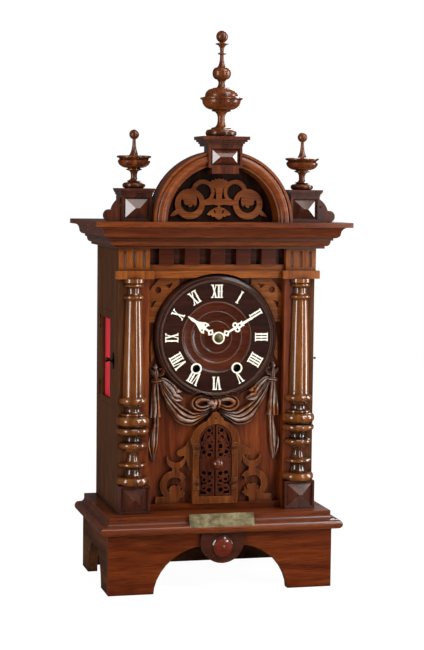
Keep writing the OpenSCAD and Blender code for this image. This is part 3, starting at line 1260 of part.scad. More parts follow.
front_apron();
apron_returns();
plinth_moulding();
apron_boss();
plaque();
side_panels();
front_board();
bottom_rail();
columns();
column_pedestals();
capital_blocks();
frieze();
cornice();
arch_hood();
tympanum_board();
tympanum_fret();
keystone();
top_pedestals();
finial_center();
side_finials();
dial_plate();
dial_marks();
spandrel_frets();
drapery_left();
drapery_right();
drapery_bow();
door_surround();
back_frame();
movement_frame();
figure_stage();
wind_chest();
trumpets();
minute_hand();
centre_wheel();
hour_hand();
hour_wheel();
motion_wheel();
third_wheel();
escape_wheel();
anchor();
pendulum();
going_barrel();
strike_barrel();
strike_wheel();
fly();
door_left();
door_right();
side_door_left();
side_door_right();
silk_left();
silk_right();
side_latch_left();
side_latch_right();
rear_door();
rear_latch();
trumpeter();
trumpet_arm();
bellows_board();
bellows_leather();
music_barrel();
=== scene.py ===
"""Looks of the trumpeter clock: polished walnut, turned dial, bone figures, silk in the side doors."""

import json
import math

import bmesh
import bpy
import numpy as np
from mathutils import Matrix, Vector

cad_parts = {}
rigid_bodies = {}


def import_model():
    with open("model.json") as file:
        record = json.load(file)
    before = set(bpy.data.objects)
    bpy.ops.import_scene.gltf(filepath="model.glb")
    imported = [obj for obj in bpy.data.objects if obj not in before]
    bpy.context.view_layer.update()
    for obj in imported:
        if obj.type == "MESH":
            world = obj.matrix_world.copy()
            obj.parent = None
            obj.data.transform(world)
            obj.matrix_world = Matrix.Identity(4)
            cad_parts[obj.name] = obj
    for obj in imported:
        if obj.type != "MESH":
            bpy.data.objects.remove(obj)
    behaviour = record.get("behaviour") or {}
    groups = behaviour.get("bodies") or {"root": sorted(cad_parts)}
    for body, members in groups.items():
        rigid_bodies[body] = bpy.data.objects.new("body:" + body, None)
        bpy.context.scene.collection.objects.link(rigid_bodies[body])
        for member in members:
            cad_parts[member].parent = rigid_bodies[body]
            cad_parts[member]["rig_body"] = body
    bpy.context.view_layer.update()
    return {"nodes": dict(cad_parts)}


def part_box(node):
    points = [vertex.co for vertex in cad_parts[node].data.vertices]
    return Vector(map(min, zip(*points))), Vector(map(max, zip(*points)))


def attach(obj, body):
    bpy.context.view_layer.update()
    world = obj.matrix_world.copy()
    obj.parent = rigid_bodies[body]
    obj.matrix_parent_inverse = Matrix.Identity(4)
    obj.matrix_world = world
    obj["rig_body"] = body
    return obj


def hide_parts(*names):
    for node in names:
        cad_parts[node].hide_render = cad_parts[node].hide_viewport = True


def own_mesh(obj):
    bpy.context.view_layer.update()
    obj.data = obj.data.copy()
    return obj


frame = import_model()
MM = 0.001


# Materials


def colour(code):
    """An sRGB hex colour as linear RGBA."""
    parts = [int(code[i:i + 2], 16) / 255 for i in (1, 3, 5)]
    return [p / 12.92 if p <= 0.04045 else ((p + 0.055) / 1.055) ** 2.4 for p in parts] + [1.0]


def add(tree, kind, inputs=None, stops=(), **settings):
    """Adds one shader node with its settings and links. An input is linked from an output socket, or
    from a node's first open output, and otherwise takes a hex code or a plain value. stops are a
    colour ramp's (place, hex code) pairs."""
    made = tree.nodes.new("ShaderNode" + kind)
    for name, value in settings.items():
        setattr(made, name, value)
    for name, value in (inputs or {}).items():
        if isinstance(value, bpy.types.Node):
            value = next(socket for socket in value.outputs if socket.enabled)
        if isinstance(value, bpy.types.NodeSocket):
            tree.links.new(value, made.inputs[name])
        else:
            made.inputs[name].default_value = colour(value) if isinstance(value, str) else value
    if stops:
        row = made.color_ramp.elements
        while len(row) < len(stops):
            row.new(0.5)
        for element, (place, code) in zip(row, stops):
            element.position = place
            element.color = colour(code)
    return made


# The places of the two colours among a Mix node's inputs
FIRST, SECOND = 6, 7


def blank(name):
    """An empty material and its tree."""
    made = bpy.data.materials.new(name)
    made.use_nodes = True
    made.node_tree.nodes.clear()
    return made, made.node_tree


def flecked(tree, body, share, pattern, stops):
    """A body colour multiplied, by a share, with the colours that stops give a pattern."""
    flecks = add(tree, "ValToRGB", {"Fac": pattern}, stops)
    return add(tree, "Mix", {"Factor": share, FIRST: body, SECOND: flecks},
               data_type="RGBA", blend_type="MULTIPLY")


def shut_in(tree, near, strength):
    """How shut in a point is within near metres, times strength, 0 to 1."""
    air = add(tree, "AmbientOcclusion", {"Distance": near}, samples=6).outputs["AO"]
    shut = add(tree, "Math", {0: 1.0, 1: air}, operation="SUBTRACT")
    return add(tree, "Math", {0: shut, 1: strength}, operation="MULTIPLY", use_clamp=True)


# How far the wood's figure and its pores are drawn out along the grain
FIGURE_DRAW, PORE_DRAW = 0.09, 0.03
# Scales in waves a metre: clouds of figure 24 mm wide, growth layers 6 mm apart, and the pores, which
# are 0.2 mm wide in the real wood and drawn 0.7 mm wide so that they show
FIGURE, LAYERS, PORES = 42, 170, 1400
# The figure's and the layers' shares in the tone, and how far from its middle the tone runs
FIGURE_SHARE, LAYER_SHARE, TONE_REACH = 0.62, 0.38, 0.16
# A wide rounding finds the arrises to paint paler, as painted highlight and wear, and a narrow one eases
# them in the light
WORN_LIT_EDGE, EASED_EDGE = 1.1 * MM, 0.5 * MM
# Painted shade, with some old wax: the colour that recesses are painted towards
SHADE_AND_OLD_WAX = "#120703"


def along_grain(grain, draw):
    """Scales for (x, y, z), with the grain's direction drawn out."""
    return [draw if axis == grain else 1 for axis in "xyz"]


def walnut(name, shades, grain="z", polish=0.5, rough=0.3, crevice=0.9, edge=0.35, lively=1.0,
           shine=0.14, rubbed_and_lit=None, inside=None, near=9):
    """Walnut, sawn, planed and French polished: streaky red-brown figure, fine dark pores drawn out
    along the grain, recesses painted dark as shade with some old wax, and arrises painted paler as
    highlight and wear.
    shades are its dark, middle and light hex codes, and lively is how strongly they part. crevice is
    how dark the painted shade and wax in recesses are, and near how many mm they reach. edge is how
    strongly the arrises are painted paler, in their own colour where one is given, else the light
    shade. shine is the polish's roughness. inside is (x, z, radius, shades): other shades within that
    radius of an axis along y."""
    made, tree = blank(name)
    place = add(tree, "TexCoord").outputs["Object"]
    along = add(tree, "Mapping", {"Vector": place, "Scale": along_grain(grain, FIGURE_DRAW)})
    figure = add(tree, "TexNoise", {
        "Vector": along, "Scale": FIGURE, "Detail": 5, "Roughness": 0.6, "Distortion": 0.7})
    layers = add(tree, "TexNoise", {
        "Vector": along, "Scale": LAYERS, "Detail": 3, "Roughness": 0.5, "Distortion": 0.25})
    fine = add(tree, "Mapping", {"Vector": place, "Scale": along_grain(grain, PORE_DRAW)})
    pores = add(tree, "TexNoise", {"Vector": fine, "Scale": PORES, "Detail": 2, "Roughness": 0.5})
    tone = add(tree, "Math", {
        0: add(tree, "Math", {0: figure, 1: FIGURE_SHARE}, operation="MULTIPLY"),
        1: add(tree, "Math", {0: layers, 1: LAYER_SHARE}, operation="MULTIPLY")}, operation="ADD")
    reach = TONE_REACH / lively
    places = (0.5 - reach, 0.5, 0.5 + reach)
    body = add(tree, "ValToRGB", {"Fac": tone}, list(zip(places, shades)))
    if inside:
        x, z, radius, others = inside
        off = add(tree, "VectorMath", {0: place, 1: (x, 0, z)}, operation="SUBTRACT")
        off = add(tree, "VectorMath", {0: off, 1: (1, 0, 1)}, operation="MULTIPLY")
        far = add(tree, "VectorMath", {0: off}, operation="LENGTH")
        core = add(tree, "ValToRGB", {"Fac": tone}, list(zip(places, others)))
        body = add(tree, "Mix", {
            "Factor": add(tree, "Math", {0: far, 1: radius}, operation="LESS_THAN"),
            FIRST: body, SECOND: core}, data_type="RGBA")
    body = flecked(tree, body, 0.55, pores, [(0.36, "#6a5a50"), (0.5, "#ffffff")])
    # Recesses painted dark: painted shade, with some old wax
    body = add(tree, "Mix", {
        "Factor": shut_in(tree, near * MM, crevice), FIRST: body, SECOND: SHADE_AND_OLD_WAX}, data_type="RGBA")
    # on an arris the wide rounding's normal turns away from the face's own
    rounded = add(tree, "Bevel", {"Radius": WORN_LIT_EDGE}, samples=4)
    flat = add(tree, "NewGeometry").outputs["Normal"]
    turn = add(tree, "VectorMath", {0: rounded, 1: flat}, operation="DOT_PRODUCT")
    away = add(tree, "Math", {0: 1.0, 1: turn}, operation="SUBTRACT")
    # Arrises painted paler: painted highlight, with some wear
    worn_and_lit = add(tree, "Math", {0: away, 1: edge * 4}, operation="MULTIPLY", use_clamp=True)
    body = add(tree, "Mix", {
        "Factor": worn_and_lit, FIRST: body, SECOND: rubbed_and_lit or shades[2]}, data_type="RGBA")
    haze = add(tree, "MapRange", {
        "Value": figure, "From Min": 0.3, "From Max": 0.7,
        "To Min": rough - 0.07, "To Max": rough + 0.1})
    eased = add(tree, "Bevel", {"Radius": EASED_EDGE}, samples=4)
    skin = add(tree, "Bump", {
        "Height": pores, "Normal": eased, "Strength": 0.12, "Distance": 0.15 * MM})
    shader = add(tree, "BsdfPrincipled", {
        "Base Color": body, "Roughness": haze, "Normal": skin, "IOR": 1.5,
        "Specular IOR Level": 0.2 * polish, "Coat Weight": polish, "Coat Roughness": shine,
        "Coat IOR": 1.6})
    add(tree, "OutputMaterial", {"Surface": shader})
    return made


def relief(name, hollow, middle, crest, bare):
    """Carved walnut: hollows painted almost black as shade, sides a warm brown, crests painted a greyish
    pink, as highlight with wear and dust, with bare patches 26 mm wide, and tool marks 1.6 mm wide along
    the folds. The mesh's ridge attribute says how much of a point is crest, and so how much of it is
    painted as lit crest."""
    made, tree = blank(name)
    place = add(tree, "TexCoord").outputs["Object"]
    ridge = add(tree, "Attribute", attribute_name="ridge").outputs["Fac"]
    cloud = add(tree, "TexNoise", {"Vector": place, "Scale": 75, "Detail": 4})
    along = add(tree, "Mapping", {"Vector": place, "Scale": along_grain("z", FIGURE_DRAW)})
    marks = add(tree, "TexNoise", {"Vector": along, "Scale": 620, "Detail": 3})
    patches = add(tree, "TexNoise", {"Vector": place, "Scale": 38, "Detail": 2})
    uneven = add(tree, "Math", {0: cloud, 1: 0.5}, operation="SUBTRACT")
    uneven = add(tree, "Math", {0: uneven, 1: 1.3}, operation="MULTIPLY")
    tone = add(tree, "Math", {0: ridge, 1: uneven}, operation="ADD")
    top = add(tree, "ValToRGB", {"Fac": patches}, [(0.54, crest), (0.62, bare)])
    body = add(tree, "ValToRGB", {"Fac": tone}, [(0.12, hollow), (0.5, middle)])
    rise = add(tree, "MapRange", {"Value": tone, "From Min": 0.5, "From Max": 0.9})
    body = add(tree, "Mix", {"Factor": rise, FIRST: body, SECOND: top}, data_type="RGBA")
    body = flecked(tree, body, 0.5, marks, [(0.36, "#7a6a62"), (0.52, "#ffffff")])
    # Hollows painted darker still within 4 mm: painted shade
    body = add(tree, "Mix", {
        "Factor": shut_in(tree, 4 * MM, 0.9), FIRST: body, SECOND: "#0d0604"}, data_type="RGBA")
    skin = add(tree, "Bump", {"Height": marks, "Strength": 0.25, "Distance": 0.3 * MM})
    shader = add(tree, "BsdfPrincipled", {
        "Base Color": body, "Roughness": 0.36, "Normal": skin, "Coat Weight": 0.5,
        "Coat Roughness": 0.2})
    add(tree, "OutputMaterial", {"Surface": shader})
    return made


def bone(name):
    """Carved bone, hand polished: warm ivory white with faint yellow clouds 8 mm wide, and specks that
    are finer in the real bone and drawn 0.4 mm wide so that they show."""
    made, tree = blank(name)
    place = add(tree, "TexCoord").outputs["Object"]
    cloud = add(tree, "TexNoise", {"Vector": place, "Scale": 130, "Detail": 4})
    speck = add(tree, "TexNoise", {"Vector": place, "Scale": 2400, "Detail": 1})
    body = add(tree, "ValToRGB", {"Fac": cloud}, [
        (0.35, "#e2dac2"), (0.55, "#f5f0e2"), (0.75, "#fdfbf4")])
    body = flecked(tree, body, 0.3, speck, [(0.35, "#d8cbae"), (0.5, "#ffffff")])
    skin = add(tree, "Bump", {"Height": speck, "Strength": 0.1, "Distance": 0.1 * MM})
    shader = add(tree, "BsdfPrincipled", {
        "Base Color": body, "Roughness": 0.42, "Normal": skin, "IOR": 1.54})
    add(tree, "OutputMaterial", {"Surface": shader})
    return made


def metal(name, clean, tarnish, rough, brushed=(1, 1, 1)):
    """A metal, filed or rolled and gone dull: clouds of tarnish 11 mm wide, painted black as shade where
    it is shut in, as deep in the winding holes, and scratches that are finer in the real metal and drawn
    1 mm wide so that they show. brushed draws them out one way."""
    made, tree = blank(name)
    place = add(tree, "TexCoord").outputs["Object"]
    cloud = add(tree, "TexNoise", {"Vector": place, "Scale": 90, "Detail": 5, "Roughness": 0.6})
    along = add(tree, "Mapping", {"Vector": place, "Scale": brushed})
    scratch = add(tree, "TexNoise", {"Vector": along, "Scale": 900, "Detail": 2})
    body = add(tree, "ValToRGB", {"Fac": cloud}, [(0.35, tarnish), (0.62, clean)])
    body = flecked(tree, body, 0.25, scratch, [(0.35, "#8c8c8c"), (0.6, "#ffffff")])
    # Painted shade: black where little air is open within 30 mm
    air = add(tree, "AmbientOcclusion", {"Distance": 30 * MM}, samples=6).outputs["AO"]
    lit = add(tree, "Math", {0: air, 1: 2.2}, operation="MULTIPLY", use_clamp=True)
    shut = add(tree, "Math", {0: 1.0, 1: lit}, operation="SUBTRACT", use_clamp=True)
    body = add(tree, "Mix", {"Factor": shut, FIRST: body, SECOND: "#0a0705"}, data_type="RGBA")
    haze = add(tree, "MapRange", {
        "Value": cloud, "From Min": 0.3, "From Max": 0.7,
        "To Min": rough + 0.12, "To Max": rough - 0.05})
    skin = add(tree, "Bump", {"Height": scratch, "Strength": 0.15, "Distance": 0.05 * MM})
    shader = add(tree, "BsdfPrincipled", {
        "Base Color": body, "Roughness": haze, "Normal": skin, "Metallic": 1.0})
    add(tree, "OutputMaterial", {"Surface": shader})
    return made


# A wave texture of scale 1 repeats after this many metres
WAVE = 0.314


def weave(name, code, shade, pitch, sheen):
    """Plain-woven silk, stretched flat: a grid of threads pitch metres apart, streaks 2 mm wide along
    them and a soft sheen. The real threads are finer and drawn as coarse as they need to show. Its UV
    is in metres."""
    made, tree = blank(name)
    flat = add(tree, "TexCoord").outputs["UV"]
    across, along = [
        add(tree, "TexWave", {"Vector": flat, "Scale": WAVE / pitch}, bands_direction=way).outputs["Fac"]
        for way in ("X", "Y")]
    grid = add(tree, "Math", {0: across, 1: along}, operation="MAXIMUM")
    drawn = add(tree, "Mapping", {"Vector": flat, "Scale": (1, 0.04, 1)})
    streak = add(tree, "TexNoise", {"Vector": drawn, "Scale": 500, "Detail": 3})
    body = add(tree, "ValToRGB", {"Fac": streak}, [(0.3, shade), (0.6, code)])
    body = flecked(tree, body, 0.35, grid, [(0.0, "#8a5a5a"), (0.8, "#ffffff")])
    skin = add(tree, "Bump", {"Height": grid, "Strength": 0.3, "Distance": 0.1 * MM})
    shader = add(tree, "BsdfPrincipled", {
        "Base Color": body, "Roughness": 0.55, "Normal": skin, "Sheen Weight": sheen})
    add(tree, "OutputMaterial", {"Surface": shader})
    return made


def axis_of(node):
    """The x and z of the middle of a turned node."""
    low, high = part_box(node)
    return (low[0] + high[0]) / 2, (low[2] + high[2]) / 2


# How far below the frieze's top the band starts that is painted in lighter shades, a painted highlight
# of light from above, and the radius of a circle so wide that its top runs level across the band
LIT_BAND_DROP, LEVEL = 27 * MM, 50

RED_WALNUT = ("#3c1605", "#6b2c0d", "#8e4716")
DEEP_WALNUT = ("#260d04", "#461b08", "#632b10")
CASE_WALNUT = ("#33170b", "#52301b", "#6b4429")

# Each finish: its name and shades, then what sets it apart. crevice and near set the painted shade in
# recesses, and edge and the arris colour the painted highlight on arrises
board_x = walnut("Walnut apron, plain grain across", ("#381405", "#5c2408", "#803c10"), "x",
                 polish=0.3, lively=0.7)
board_z = walnut("Walnut board polished, grain upright", RED_WALNUT, lively=0.8, crevice=0.5)
case_side, base_side, base_rail_wood = [
    walnut(name, CASE_WALNUT, grain, polish=0.15, rough=0.45, lively=0.7) for name, grain in (
        ("Walnut side panel, waxed", "z"), ("Walnut side apron, waxed", "y"),
        ("Walnut back rail, waxed", "x"))]
moulding = walnut("Walnut moulding polished", ("#3c1506", "#642a0d", "#864418"), "x", polish=0.6,
                  lively=0.6, crevice=2.2, near=7)
# The turnings are painted darker in their hollows within 20 mm, as shade, so the beaded base comes out
# darker than the shaft
turned = walnut("Walnut turning, French polished", ("#42200a", "#703c11", "#945720"), polish=0.9,
                shine=0.05, crevice=2.4, near=20)
dark_turned = walnut("Walnut finial turning", ("#341606", "#602c0e", "#86481a"), shine=0.22, near=20)
button = walnut("Walnut boss, red polish", ("#240c04", "#3e1808", "#5c290f"), "x", polish=0.8,
                lively=0.6, shine=0.1,
                inside=(*axis_of("apron_boss"), 15 * MM, ("#40120a", "#64200e", "#843418")))
hood_wood = walnut("Arched hood walnut", ("#451c07", "#72340c", "#944e1a"), "x", polish=0.4, rough=0.38,
                   lively=0.6, shine=0.3)
pale = walnut("Light walnut spandrel", ("#5a2a0e", "#8a4a1e", "#a8642c"), "x", polish=0.4, lively=0.7)
fretwood = walnut("Sawn fret walnut, red polish", ("#58270d", "#82431a", "#a6632e"), "x", lively=0.6)
cap_wood = walnut("Fluted block walnut", ("#55260c", "#834417", "#a4622a"), lively=0.6, crevice=1.6)
gem_wood = walnut("Faceted block walnut, high polish", DEEP_WALNUT, polish=1.0, shine=0.08)
key_wood = walnut("Keystone walnut, high polish", ("#2f1105", "#54220b", "#743710"), polish=1.0,
                  shine=0.08, lively=0.7, crevice=1.8)
deep_x = walnut("Stained walnut, grain across", DEEP_WALNUT, "x", lively=0.7)
deep_z = walnut("Stained walnut, grain upright", DEEP_WALNUT, lively=0.7)
# The frieze's lower band is painted in lighter shades: a painted highlight of light falling from above
frieze_wood = walnut("Stained walnut frieze", ("#2c0f05", "#4e1e09", "#6c3012"), "x", lively=0.7,
                     inside=(0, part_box("frieze")[1][2] - LIT_BAND_DROP - LEVEL, LEVEL,
                             ("#4e220c", "#844418", "#a86428")))
# The frame's arrises are painted a pale tan: painted highlight, with some wear
frame_wood = walnut("Scroll-sawn walnut door frame", ("#3a1605", "#66300d", "#8a4c1c"), lively=0.8,
                    edge=0.6, rubbed_and_lit="#a87444", crevice=1.8, near=7)
# The drapery's hollows are painted near black as shade, and its crests greyish pink as highlight with
# wear
drapery_wood = relief("Carved drapery walnut, rubbed crests", "#1f0e08", "#784220", "#ab9285", "#9a5626")
ebonised = walnut("Ebonised walnut back board", ("#160a06", "#2a140c", "#3f2216"), polish=0.2, rough=0.5)
# The dial's turned beads are painted pale at their arrises: painted highlight on them
dial_wood = walnut("Turned dial walnut, nearly black", ("#1b0906", "#2c120b", "#431c10"), "x",
                   polish=0.3, rough=0.4, edge=1.0, lively=0.7, rubbed_and_lit="#8f7060",
                   inside=(*axis_of("dial_plate"), 57 * MM, ("#2c0f06", "#4a1d0c", "#693013")))
ivory = bone("Polished bone")
plate_brass = metal("Dull rolled brass plate", "#766c52", "#554c36", 0.5, (0.05, 1, 1))
aged_brass = metal("Hand collet brass, gone olive", "#8d8058", "#665a3a", 0.4)
clock_brass = metal("Lacquered clock brass", "#c8a250", "#96702c", 0.3)
steel = metal("Blackened iron", "#2c2a29", "#191817", 0.45)
silk = weave("Red silk", "#ee1a36", "#b81428", 0.45 * MM, 0.05)
# Leather and painted limewood show little, so they take the wood's pattern in their own shades
hide = walnut("Sheepskin bellows leather", ("#4a3020", "#6b4a30", "#8a6a4a"), "x", polish=0.0, rough=0.7)
coat = walnut("Painted limewood figure", ("#5e1512", "#7a1f1c", "#8c2c25"), polish=0.3, rough=0.5)

FINISH = {
    "front_apron": board_x, "apron_returns": base_side, "plinth_moulding": moulding,
    "apron_boss": button, "plaque": plate_brass, "side_panels": case_side, "front_board": board_z,
    "bottom_rail": board_x, "columns": turned, "column_pedestals": gem_wood,
    "capital_blocks": cap_wood, "frieze": frieze_wood, "cornice": moulding, "arch_hood": hood_wood,
    "tympanum_board": ebonised, "tympanum_fret": fretwood, "keystone": key_wood,
    "top_pedestals": gem_wood, "finial_center": dark_turned, "side_finials": dark_turned,
    "dial_plate": dial_wood, "dial_marks": ivory, "spandrel_frets": pale,
    "door_surround": frame_wood, "back_frame": case_side, "movement_frame": clock_brass,
    "figure_stage": deep_x, "wind_chest": board_x, "trumpets": clock_brass, "minute_hand": ivory,
    "centre_wheel": aged_brass, "hour_hand": ivory, "hour_wheel": clock_brass,
    "motion_wheel": clock_brass, "third_wheel": clock_brass, "escape_wheel": clock_brass,
    "anchor": steel, "pendulum": clock_brass, "going_barrel": clock_brass,
    "strike_barrel": clock_brass, "strike_wheel": clock_brass, "fly": clock_brass,
    "door_left": deep_z, "door_right": deep_z, "side_door_left": case_side,
    "side_door_right": case_side, "side_latch_left": steel, "side_latch_right": steel,
    "rear_door": case_side, "rear_latch": steel, "trumpeter": coat, "trumpet_arm": coat,
    "bellows_board": board_x, "music_barrel": pale,
}
for name, finish in FINISH.items():
    slots = frame["nodes"][name].data.materials
    for i in range(len(slots)):
        slots[i] = finish


# Pieces


def grid_faces(shape, closed):
    """The faces of a grid of points, rows by columns, each with its neighbours as corners. closed
    joins the last row to the first, and the last column to the first."""
    rows, columns = shape
    i = np.arange(rows - (0 if closed[0] else 1))
    j = np.arange(columns - (0 if closed[1] else 1))
    i, j = [a.ravel() for a in np.meshgrid(i, j, indexing="ij")]
    up, across = (i + 1) % rows, (j + 1) % columns
    return np.stack([i * columns + j, i * columns + across, up * columns + across, up * columns + j], 1)


def piece(name, points, faces, finish, node):
    """A smooth piece from points and faces. It rides on the body of a CAD node."""
    mesh = bpy.data.meshes.new(name)
    mesh.from_pydata(points.tolist(), [], faces.tolist())
    mesh.polygons.foreach_set("use_smooth", np.ones(len(faces), bool))
    mesh.materials.append(finish)
    made = bpy.data.objects.new(name, mesh)
    bpy.context.scene.collection.objects.link(made)
    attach(made, frame["nodes"][node]["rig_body"])
    return made


def surface(name, points, finish, node, uv=None, closed=(False, False)):
    """A piece from one grid of points, with a UV for each where it is given."""
    faces = grid_faces(points.shape[:2], closed)
    made = piece(name, points.reshape(-1, 3), faces, finish, node)
    if uv is not None:
        layer = made.data.uv_layers.new(name="Flat")
        layer.data.foreach_set("uv", uv.reshape(-1, 2)[faces.ravel()].astype(np.float32).ravel())
    return made


# Points nearer to each other than this are one
DOUBLED = 0.002 * MM


def seal(mesh):
    """Welds a mesh's doubled points, fills its open ends and turns its faces outwards."""
    shell = bmesh.new()
    shell.from_mesh(mesh)
    bmesh.ops.remove_doubles(shell, verts=shell.verts, dist=DOUBLED)
    bmesh.ops.holes_fill(shell, edges=shell.edges)
    bmesh.ops.recalc_face_normals(shell, faces=shell.faces)
    shell.to_mesh(mesh)
    shell.free()


def thicken(made, what, thickness):
    """Gives a sheet its thickness, half to each side."""
    wall = made.modifiers.new(what, "SOLIDIFY")
    wall.thickness = thickness
    wall.offset = 0


def corners(node):
    """A node's lower and upper corner as arrays."""
    return [np.array(v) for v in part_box(node)]


# The silk's sag inwards and its ripples: their height and how many there are across
SAG, RIPPLE, RIPPLES = 0.2 * MM, 0.1 * MM, 11


def window_silk(side):
    """Silk stretched in a side door's window: a flat sheet in the plane of the door that sags inwards by
    the product of two half sines, with fine upright ripples that die out at its top and bottom."""
    low, high = corners("silk_" + side)
    v, u = np.meshgrid(np.linspace(0, 1, 90), np.linspace(0, 1, 70), indexing="ij")
    inward = -1 if side == "right" else 1
    sag = SAG * np.sin(math.pi * u) * np.sin(math.pi * v) * inward
    ripple = RIPPLE * np.sin(u * 2 * math.pi * RIPPLES + 0.6 * np.sin(v * 5)) * np.sin(math.pi * v)
    x = (low[0] + high[0]) / 2 + sag + ripple
    y = low[1] + (high[1] - low[1]) * u
    z = low[2] + (high[2] - low[2]) * v
    width, height = high[1] - low[1], high[2] - low[2]
    flat = np.stack([u * width, v * height], 2)
    made = surface("silk_sheet_" + side, np.stack([x, y, z], 2), silk, "silk_" + side, flat)
    thicken(made, "Thread thickness", 0.25 * MM)
    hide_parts("silk_" + side)


window_silk("left")
window_silk("right")


# The bellows' pleats: how many, how deep, and the wedge's rise where they reach that depth
PLEATS, PLEAT_DEPTH, FULL_RISE = 3, 2.2 * MM, 16 * MM
# The wedge's rise at its hinge, how far its mouth stops under and behind its box's edge, and the
# leather's thickness
HINGE_RISE, LAP, FRONT_LAP, LEATHER = 4 * MM, 0.5 * MM, 1.5 * MM, 0.8 * MM


def bellows_wall():
    """Pleated leather of the bellows: a wedge that opens from its hinge line at the back to its mouth at
    the front. Going up the wall from the chest floor to the feeder board, the wall stands in and out by
    a triangle wave w of three pleats, rounded to 3w^2 - 2w^3, carried round the wedge's open sides."""
    low, high = corners("bellows_leather")
    rows, columns = 49, 160
    up = np.linspace(0, 1, rows)
    fold = np.abs((up * PLEATS) % 1 - 0.5) * 2
    fold = fold * fold * (3 - 2 * fold)
    # round the three sides: left from the hinge to the front, along the front, right back to the hinge
    t = np.linspace(0, 3, columns)
    left, front, right = [np.clip(t - k, 0, 1) for k in range(3)]
    x = low[0] + (high[0] - low[0]) * front
    back = high[1]
    mouth = low[1] + FRONT_LAP
    y = mouth + (back - mouth) * (1 - left + right)
    out_x = np.where(t < 1, -1.0, np.where(t > 2, 1.0, 0.0))
    out_y = np.where((t >= 1) & (t <= 2), -1.0, 0.0)
    opened = np.clip((back - y) / (back - mouth), 0, 1)
    rise = HINGE_RISE + (high[2] - low[2] - HINGE_RISE - LAP) * opened
    deep = PLEAT_DEPTH * np.clip(rise / FULL_RISE, 0.1, 1)
    pull = (fold[:, None] - 1) * deep[None, :] * 0.9
    points = np.stack([
        x[None, :] + out_x * pull, y[None, :] + out_y * pull,
        low[2] + 0.2 * MM + up[:, None] * rise[None, :]], 2)
    made = surface("bellows_pleats", points, hide, "bellows_leather")
    thicken(made, "Leather thickness", LEATHER)
    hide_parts("bellows_leather")
    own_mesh(made)


bellows_wall()


# The face of the board that the drapery is carved on
BOARD_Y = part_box("drapery_left")[1][1] / MM


def smooth_line(stations, count):
    """A smooth line (Catmull-Rom) through rows of numbers: between rows b and c, with a before and e
    after, it is half of 2b + (c - a)t + (2a - 5b + 4c - e)t^2 + (3b - a - 3c + e)t^3."""
    p = np.array(stations, float)
    p = np.vstack([2 * p[0] - p[1], p, 2 * p[-1] - p[-2]])
    t = np.linspace(0, len(stations) - 1 - 1e-9, count)
    i = t.astype(int) + 1
    f = (t - (i - 1))[:, None]
    a, b, c, e = p[i - 1], p[i], p[i + 1], p[i + 2]
    square, cube = 2 * a - 5 * b + 4 * c - e, 3 * b - a - 3 * c + e
    return 0.5 * (2 * b + (c - a) * f + square * f ** 2 + cube * f ** 3)


# Cross cuts along a fringed strip
CUTS = 11


def cloth(stations, folds, sway=0.1, fringe=0.0, count=90, across=60, worn_and_lit=0.0):
    """Carved cloth as a closed shell on the board. It follows a smooth line of stations [x, z, width,
    height] in mm. s runs 0 to 1 across it and t along it. With q = folds s + sway sin(5t + 3s), a fold
    is c = |cos(pi q)|^0.6, so ridges are round and valleys sharp, and slower and finer sines of q make
    no two folds alike. The face stands off the board by height (0.4 + 0.6 c) times a rounded edge,
    (1 - |2s - 1|^6)^0.5. A fringe adds cross cuts that deep: a cosine of CUTS waves round t = 0.6.
    Gives the grid of points in mm and how much of each point is ridge, which is c raised to at least
    a floor given as the last argument. Ridge is painted as lit crest, so a higher floor paints the
    cloth paler, as painted highlight."""
    line = smooth_line(stations, count)
    x, z, width, height = [line[:, [k]] for k in range(4)]
    dx, dz = np.gradient(x, axis=0), np.gradient(z, axis=0)
    long = np.hypot(dx, dz)
    s = np.linspace(0, 1, across)[None, :]
    t = np.linspace(0, 1, count)[:, None]
    lie = folds * s + sway * np.sin(5 * t + 3 * s)
    c = np.abs(np.cos(math.pi * lie)) ** 0.6 * (0.82 + 0.18 * np.sin(4.1 * lie + 3 * t))
    c = c * (0.88 + 0.12 * np.abs(np.sin(math.pi * (2.6 * lie + 1.5 * t))))
    edge = np.sqrt(np.clip(1 - np.abs(2 * s - 1) ** 6, 0.004, 1))
    fringed = np.clip(1 - np.abs(t - 0.6) / 0.3, 0, 1)
    cut = fringe * 0.5 * (1 - np.cos(2 * math.pi * CUTS * t)) * fringed
    stand = (height * (0.4 + 0.6 * c) - cut) * edge
    px, pz = x - dz / long * width * (s - 0.5), z + dx / long * width * (s - 0.5)
    face = np.stack([px, BOARD_Y - stand, pz], 2)
    foot = np.stack([px, BOARD_Y + 0 * stand, pz], 2)
    ring = np.concatenate([face, foot[:, ::-1]], 1)
    flat = np.concatenate([foot, foot[:, ::-1]], 1)
    ridge = np.concatenate([(worn_and_lit + (1 - worn_and_lit) * c) * edge, 0 * c], 1)
    ends = 0 * ridge[:1]
    return np.concatenate([flat[:1], ring, flat[-1:]]), np.concatenate([ends, ridge, ends])


